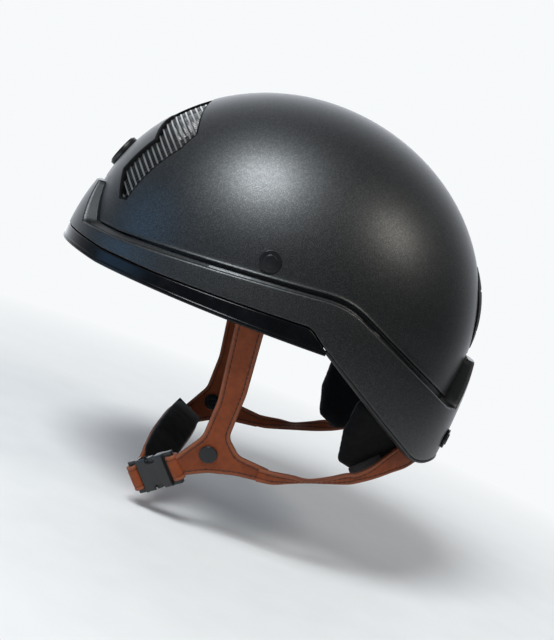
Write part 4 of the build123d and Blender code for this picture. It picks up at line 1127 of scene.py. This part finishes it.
def bevelled(least, rise, width):
    """Half depth of a flat patch, thinner towards its edge."""
    return lambda distance, *_: least + rise * np.clip(distance / width, 0, 1)


NAPE_PAD = ((0.485, -0.15), (0.745, -0.175), (0.785, -0.41), (0.73, -0.482), (0.62, -0.560),
            (0.512, -0.520), (0.478, -0.363))
NAPE_PAD_HALF, TAB_LIFT = 5.0, 0.8
nape_normal = unit((0.87, 0.40, -0.28))
nape_centre = place((0.643, 0.60, -0.33))
NAPE_FRAME = axes(nape_centre, np.cross((0, 0, 1.0), nape_normal), nape_normal)


def nape_local(share_y, share_z):
    y, z = along(share_y), up(share_z)
    n = NAPE_FRAME[3]
    x = nape_centre[0] - (n[1] * (y - nape_centre[1]) + n[2] * (z - nape_centre[2])) / n[0]
    away = np.array([x, y, z]) - nape_centre
    return away @ NAPE_FRAME[1], away @ NAPE_FRAME[2]


def nape_surface(side, lift=0.0):
    def surface(verts):
        places = nape_centre + verts[:, :2] @ NAPE_FRAME[1:3] + lift * NAPE_FRAME[3]
        return places * mirrored(side), np.tile(NAPE_FRAME[3] * mirrored(side), (len(verts), 1))
    return surface


def rounded_box(width, height, radius):
    points = [(-width / 2, -height / 2), (width / 2, -height / 2), (width / 2, height / 2),
              (-width / 2, height / 2)]
    return rounded(points, (radius,) * 4, 8, close=True)


nape_outline = rounded([nape_local(*s) for s in NAPE_PAD], (6.0,) * 7, 8, close=True)
tab_spot = np.array(nape_local(0.622, -0.480))
turn = math.radians(46.0)
tab_outline = rounded_box(21.0, 6.0, 0.6) @ np.array([[math.cos(turn), math.sin(turn)],
                                                     [-math.sin(turn), math.cos(turn)]]) + tab_spot
for side, word in ((1, "left"), (-1, "right")):
    nape_pad = cut_sheet("nape_cushion_" + word, nape_outline, nape_surface(side),
                         pillow(NAPE_PAD_HALF, 7.5), 1.4, 1.2)
    fuzz(nape_pad, 0.7, 0.006)
    dress(nape_pad, LINING, None, "lining", "nape_pad_" + word)
    tab = cut_sheet("nape_label_" + word, tab_outline, nape_surface(side, NAPE_PAD_HALF + TAB_LIFT),
                    bevelled(0.30, 0.2, 0.4), 1.0, 0.6)
    dress(tab, TAPE, None, "patch", "nape_tab_" + word)
    blend_nape((nape_pad, tab))


# Comfort pads, drawn in from the dome: the liner's inner face, hook patches and the pad's half depth
LINER_FACE, PATCH, FIT, PAD_HALF = 24.0, 1.2, 0.3, 3.5
PAD_MIDDLE = LINER_FACE + PATCH + 2 * FIT + PAD_HALF
PAD_BEND, PATCH_RADIUS = 8.0, 9.0
DOME_CENTRE, AXES = np.array([0.0, CENTRE_Y, CENTRE_Z]), np.arange(3)


def dome_halves(away, inset):
    """Half axes of the dome drawn in by inset, on the side of its centre where places lie."""
    return np.stack([np.full(len(away), HALF_WIDTH), np.where(away[:, 1] < 0, FRONT, REAR),
                     np.where(away[:, 2] > 0, RISE, DROP)], 1) - inset


def dome_surface(axis, sign, inset):
    """The dome drawn in by inset, seen along an axis: verts hold the other two coordinates."""
    def surface(verts):
        away = np.insert(verts[:, :2], axis, sign * DROP, axis=1) - DOME_CENTRE * (AXES != axis)
        halves = dome_halves(away, inset)
        share = np.delete(away / halves, axis, 1)
        away[:, axis] = sign * halves[:, axis] * np.sqrt(1 - np.sum(share ** 2, 1))
        return DOME_CENTRE + away, unit(away / halves ** 2)
    return surface


def round_outline(radius):
    a = np.linspace(0, 2 * math.pi, 96, endpoint=False)
    return np.stack([radius * np.cos(a), radius * np.sin(a)], 1)


SIDE_PAD, SIDE_SPOT = rounded_box(66.0, 30.0, PAD_BEND), (along(0.04), up(0.40))
# Each pad's axis and side, its outline, and its middle across that axis
comfort = {"brow_pad": (1, -1, rounded_box(124.0, 24.0, PAD_BEND), (0.0, up(0.11) + 12.0)),
           "back_pad": (1, 1, rounded_box(80.0, 30.0, PAD_BEND), (0.0, up(0.06) + 15.0)),
           "side_pad_left": (0, 1, SIDE_PAD, SIDE_SPOT),
           "side_pad_right": (0, -1, SIDE_PAD, SIDE_SPOT),
           "crown_pad": (2, 1, round_outline(36.0), (0.0, 0.0))}
patches = []
for node, (axis, sign, outline, middle) in comfort.items():
    outline = np.array(outline) + np.array(middle)
    cushion = cut_sheet(node + "_cushion", outline, dome_surface(axis, sign, PAD_MIDDLE),
                        pillow(PAD_HALF, 6.0), 1.8, 1.5)
    fuzz(cushion, 0.5, 0.008)
    dress(cushion, LINING, "cap", "lining", node)
    dot = round_outline(PATCH_RADIUS) + np.array(middle)
    patches.append(cut_sheet("hook_disc", dot, dome_surface(axis, sign, LINER_FACE + FIT + PATCH / 2),
                             bevelled(0.35, 0.25, 0.5), 1.2, 0.8))
hooks = join("hook_discs", patches)
dress(hooks, TAPE, "cap", "patch", "hook_patches")


# Front grille: bright bars across, joined by narrow darker webs

ROW_PITCH, HOLE_PITCH = 3.4, 2.3
# Width, depth and inset from the dome
BAR_SIZE, WEB_SIZE = (1.05, 0.7, 1.9), (0.6, 0.35, 2.2)
FRAME_LAP, BAR_LAP, WEB_CUT, FIRST_ROW, WEB_SPAN = 1.45, 0.6, 0.3, 1.0, 70
grille_outline = offset_outline(VENT_OUTLINE, -FRAME_LAP)


def dome_at(x, s, inset):
    """Point of the dome drawn in by inset, in front of the slope's point (x, s)."""
    near, far = 0.0, 220.0
    for _ in range(34):
        t = (near + far) / 2
        away = np.array([on_slope(x, s, t)]) - DOME_CENTRE
        near, far = (t, far) if np.sum((away / dome_halves(away, inset)) ** 2) < 1 else (near, t)
    return np.array(on_slope(x, s, near))


def bar_along(points_flat, width, deep, inset):
    """Bar through slope points, with a rounded top, as points and faces."""
    centres = np.array([dome_at(x, s, inset) for x, s in points_flat])
    run = travel(centres)
    out = unit((centres - DOME_CENTRE) / np.array([HALF_WIDTH, FRONT, RISE]) ** 2)
    side = unit(np.cross(out, run))
    section = [(-0.5, -1.0), (-0.5, -0.25), (-0.36, -0.04), (0.0, 0.05), (0.36, -0.04), (0.5, -0.25),
               (0.5, -1.0)]
    points = np.concatenate([[c + s * u * width + o * v * deep for u, v in section]
                             for c, s, o in zip(centres, side, out)])
    return points, tube_faces(len(centres), len(section))


def build_grille():
    """Bars and webs, as two lists of points with their faces."""
    bars, webs = ([], []), ([], [])

    def take(group, made):
        points, faces = group
        first = sum(len(p) for p in points)
        points.append(made[0])
        faces.extend(tuple(first + i for i in face) for face in made[1])

    low, high = grille_outline[:, 1].min(), grille_outline[:, 1].max()
    rows = np.arange(low + FIRST_ROW, high, ROW_PITCH)
    for order, s in enumerate(rows):
        hits = []
        for (x0, s0), (x1, s1) in zip(grille_outline, np.roll(grille_outline, -1, 0)):
            if (s0 > s) != (s1 > s):
                hits.append(x0 + (s - s0) * (x1 - x0) / (s1 - s0))
        hits.sort()
        for a, b in zip(hits[::2], hits[1::2]):
            count = max(2, int((b - a) / 3.0))
            stops = np.linspace(a - BAR_LAP, b + BAR_LAP, count)
            take(bars, bar_along([(x, s) for x in stops], *BAR_SIZE))
        shift = HOLE_PITCH / 2 * (order % 2)
        for x in np.arange(-WEB_SPAN + shift, WEB_SPAN, HOLE_PITCH):
            ends = np.array([[x, s + WEB_CUT], [x, s + ROW_PITCH - WEB_CUT]])
            if inside(grille_outline, ends).all():
                take(webs, bar_along(ends, *WEB_SIZE))
    return bars, webs


made_bars, made_webs = build_grille()
for name, (points, faces), look, nodes in (
        ("front_grille", made_bars, GRILLE, ("front_vent_mesh_left", "front_vent_mesh_right")),
        ("front_grille_webs", made_webs, WEB, ())):
    dress(add_object(name, np.concatenate(points), faces, SOFT_SMOOTH), look, "cap", "mesh", *nodes)


# CAD pieces that keep their own shape, with a material and a small bevel

for node, material, bevel in (("impact_liner", FOAM, 0.0), ("front_vent_frame", FRAME, 0.0),
                              ("badge_body", BADGE, 0.35), ("badge_ring", RING, 0.30),
                              ("rear_vent_cover", COVER, 0.0), ("rear_vent_mesh", DARK_MESH, 0.0),
                              ("harness_rivets", RIVET, 0.35), ("rivet_washers", WASHER, 0.2),
                              ("junction_caps", RIVET, 0.4), ("junction_backs", RIVET, 0.3),
                              ("buckle_female", BUCKLE, 0.45), ("buckle_male", BUCKLE, 0.4),
                              ("buckle_prong_upper", BUCKLE, 0.3), ("buckle_prong_lower", BUCKLE, 0.3),
                              ("strap_slider", BUCKLE, 0.4), ("strap_keeper", BUCKLE, 0.4)):
    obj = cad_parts[node]
    obj.data.materials.clear()
    obj.data.materials.append(material)
    obj.data.shade_smooth()
    if bevel:
        modifier(obj, "WELD", merge_threshold=0.00002)
        modifier(obj, "DECIMATE", decimate_type="DISSOLVE", angle_limit=math.radians(1.0))
        modifier(obj, "BEVEL", width=bevel * MM, segments=3, limit_method="ANGLE",
                 angle_limit=math.radians(30.0), use_clamp_overlap=True, harden_normals=False)


# Floor, light and camera

BACKDROP = (0.93, 0.95, 0.96, 1.0)
FLOOR_Z, FLOOR_RADIUS = -0.1335, 0.62


def floor_material():
    """Pale matt table that fades into the backdrop far from the cap."""
    made, n = new_material("pale_table")
    tone = n.ramp(n.noise(30.0, 4.0), ((0.3, (0.67, 0.68, 0.68)), (0.7, (0.70, 0.71, 0.71))))
    shader = n.surface({"Base Color": tone, "Roughness": 0.75})
    backdrop = n.add("ShaderNodeEmission", {"Color": BACKDROP, "Strength": 1.0})
    away = n.add("ShaderNodeVectorMath", {0: n.place()}, operation="LENGTH").outputs["Value"]
    fade = n.math("MULTIPLY", n.remap(away, 0.20, 0.58, 0.0, 1.0), n.seen_direct())
    mixed = n.add("ShaderNodeMixShader", {0: fade, 1: shader.outputs[0], 2: backdrop.outputs[0]})
    n.feed(n.tree.nodes["Material Output"], {"Surface": mixed.outputs[0]})
    return made


bpy.ops.mesh.primitive_circle_add(vertices=96, radius=FLOOR_RADIUS, fill_type="NGON",
                                  location=(0, 0, FLOOR_Z))
floor = bpy.context.object
floor.name = "table"
floor.data.materials.append(floor_material())

world = bpy.data.worlds.new("studio")
bpy.context.scene.world = world
world.use_nodes = True
n = Nodes(world)
# The room is dim on the near side and bright behind the cap.
sky = n.add("ShaderNodeTexCoord").outputs["Generated"]
room = n.add("ShaderNodeVectorMath", {0: sky, 1: (-0.99, -0.02, 0.10)}, operation="DOT_PRODUCT")
room = room.outputs["Value"]
glow = n.math("POWER", n.remap(room, -0.6, 1.0, 0.0, 1.0), 6.0)
ambient = n.add("ShaderNodeBackground", {"Color": (0.90, 0.94, 1.0, 1.0),
                                         "Strength": n.remap(glow, 0.0, 1.0, 0.08, 2.60)})
seen = n.add("ShaderNodeBackground", {"Color": BACKDROP})
choose = n.add("ShaderNodeMixShader", {0: n.seen_direct(), 1: ambient.outputs[0], 2: seen.outputs[0]})
n.feed(n.tree.nodes["World Output"], {"Surface": choose.outputs[0]})


def softbox(name, location, target, size, power, color):
    light = bpy.data.lights.new(name, "AREA")
    light.shape, light.size, light.energy, light.color = "DISK", size, power, color
    obj = bpy.data.objects.new(name, light)
    bpy.context.scene.collection.objects.link(obj)
    obj.location = location
    obj.rotation_euler = (Vector(target) - Vector(location)).to_track_quat("-Z", "Y").to_euler()


softbox("key_softbox", (0.86, -0.65, 1.38), (0.09, -0.03, 0.08), 0.75, 33.5, (0.95, 0.98, 1.0))
softbox("warm_softbox", (0.62, 1.07, 1.20), (0.09, 0.05, 0.08), 0.55, 6.6, (1.0, 0.93, 0.84))
softbox("window_softbox", (0.34, -1.70, 0.06), (0.08, -0.08, 0.01), 1.0, 3.8, (0.25, 0.57, 1.0))

camera = bpy.data.cameras.new("photo_camera")
camera.lens, camera.sensor_width = 64.69, 36.0
camera_obj = bpy.data.objects.new("photo_camera", camera)
bpy.context.scene.collection.objects.link(camera_obj)
right, above = (0.04362, 0.93270, 0.35803), (-0.12175, -0.35073, 0.92853)
back, stand = (0.99160, -0.08409, 0.09827), (0.7536, -0.0549, 0.0733)
camera_obj.matrix_world = Matrix([*zip(right, above, back, stand), (0, 0, 0, 1)])
camera.clip_start, camera.clip_end = 0.02, 50.0
bpy.context.scene.camera = camera_obj
bpy.context.scene.view_settings.view_transform = "Standard"
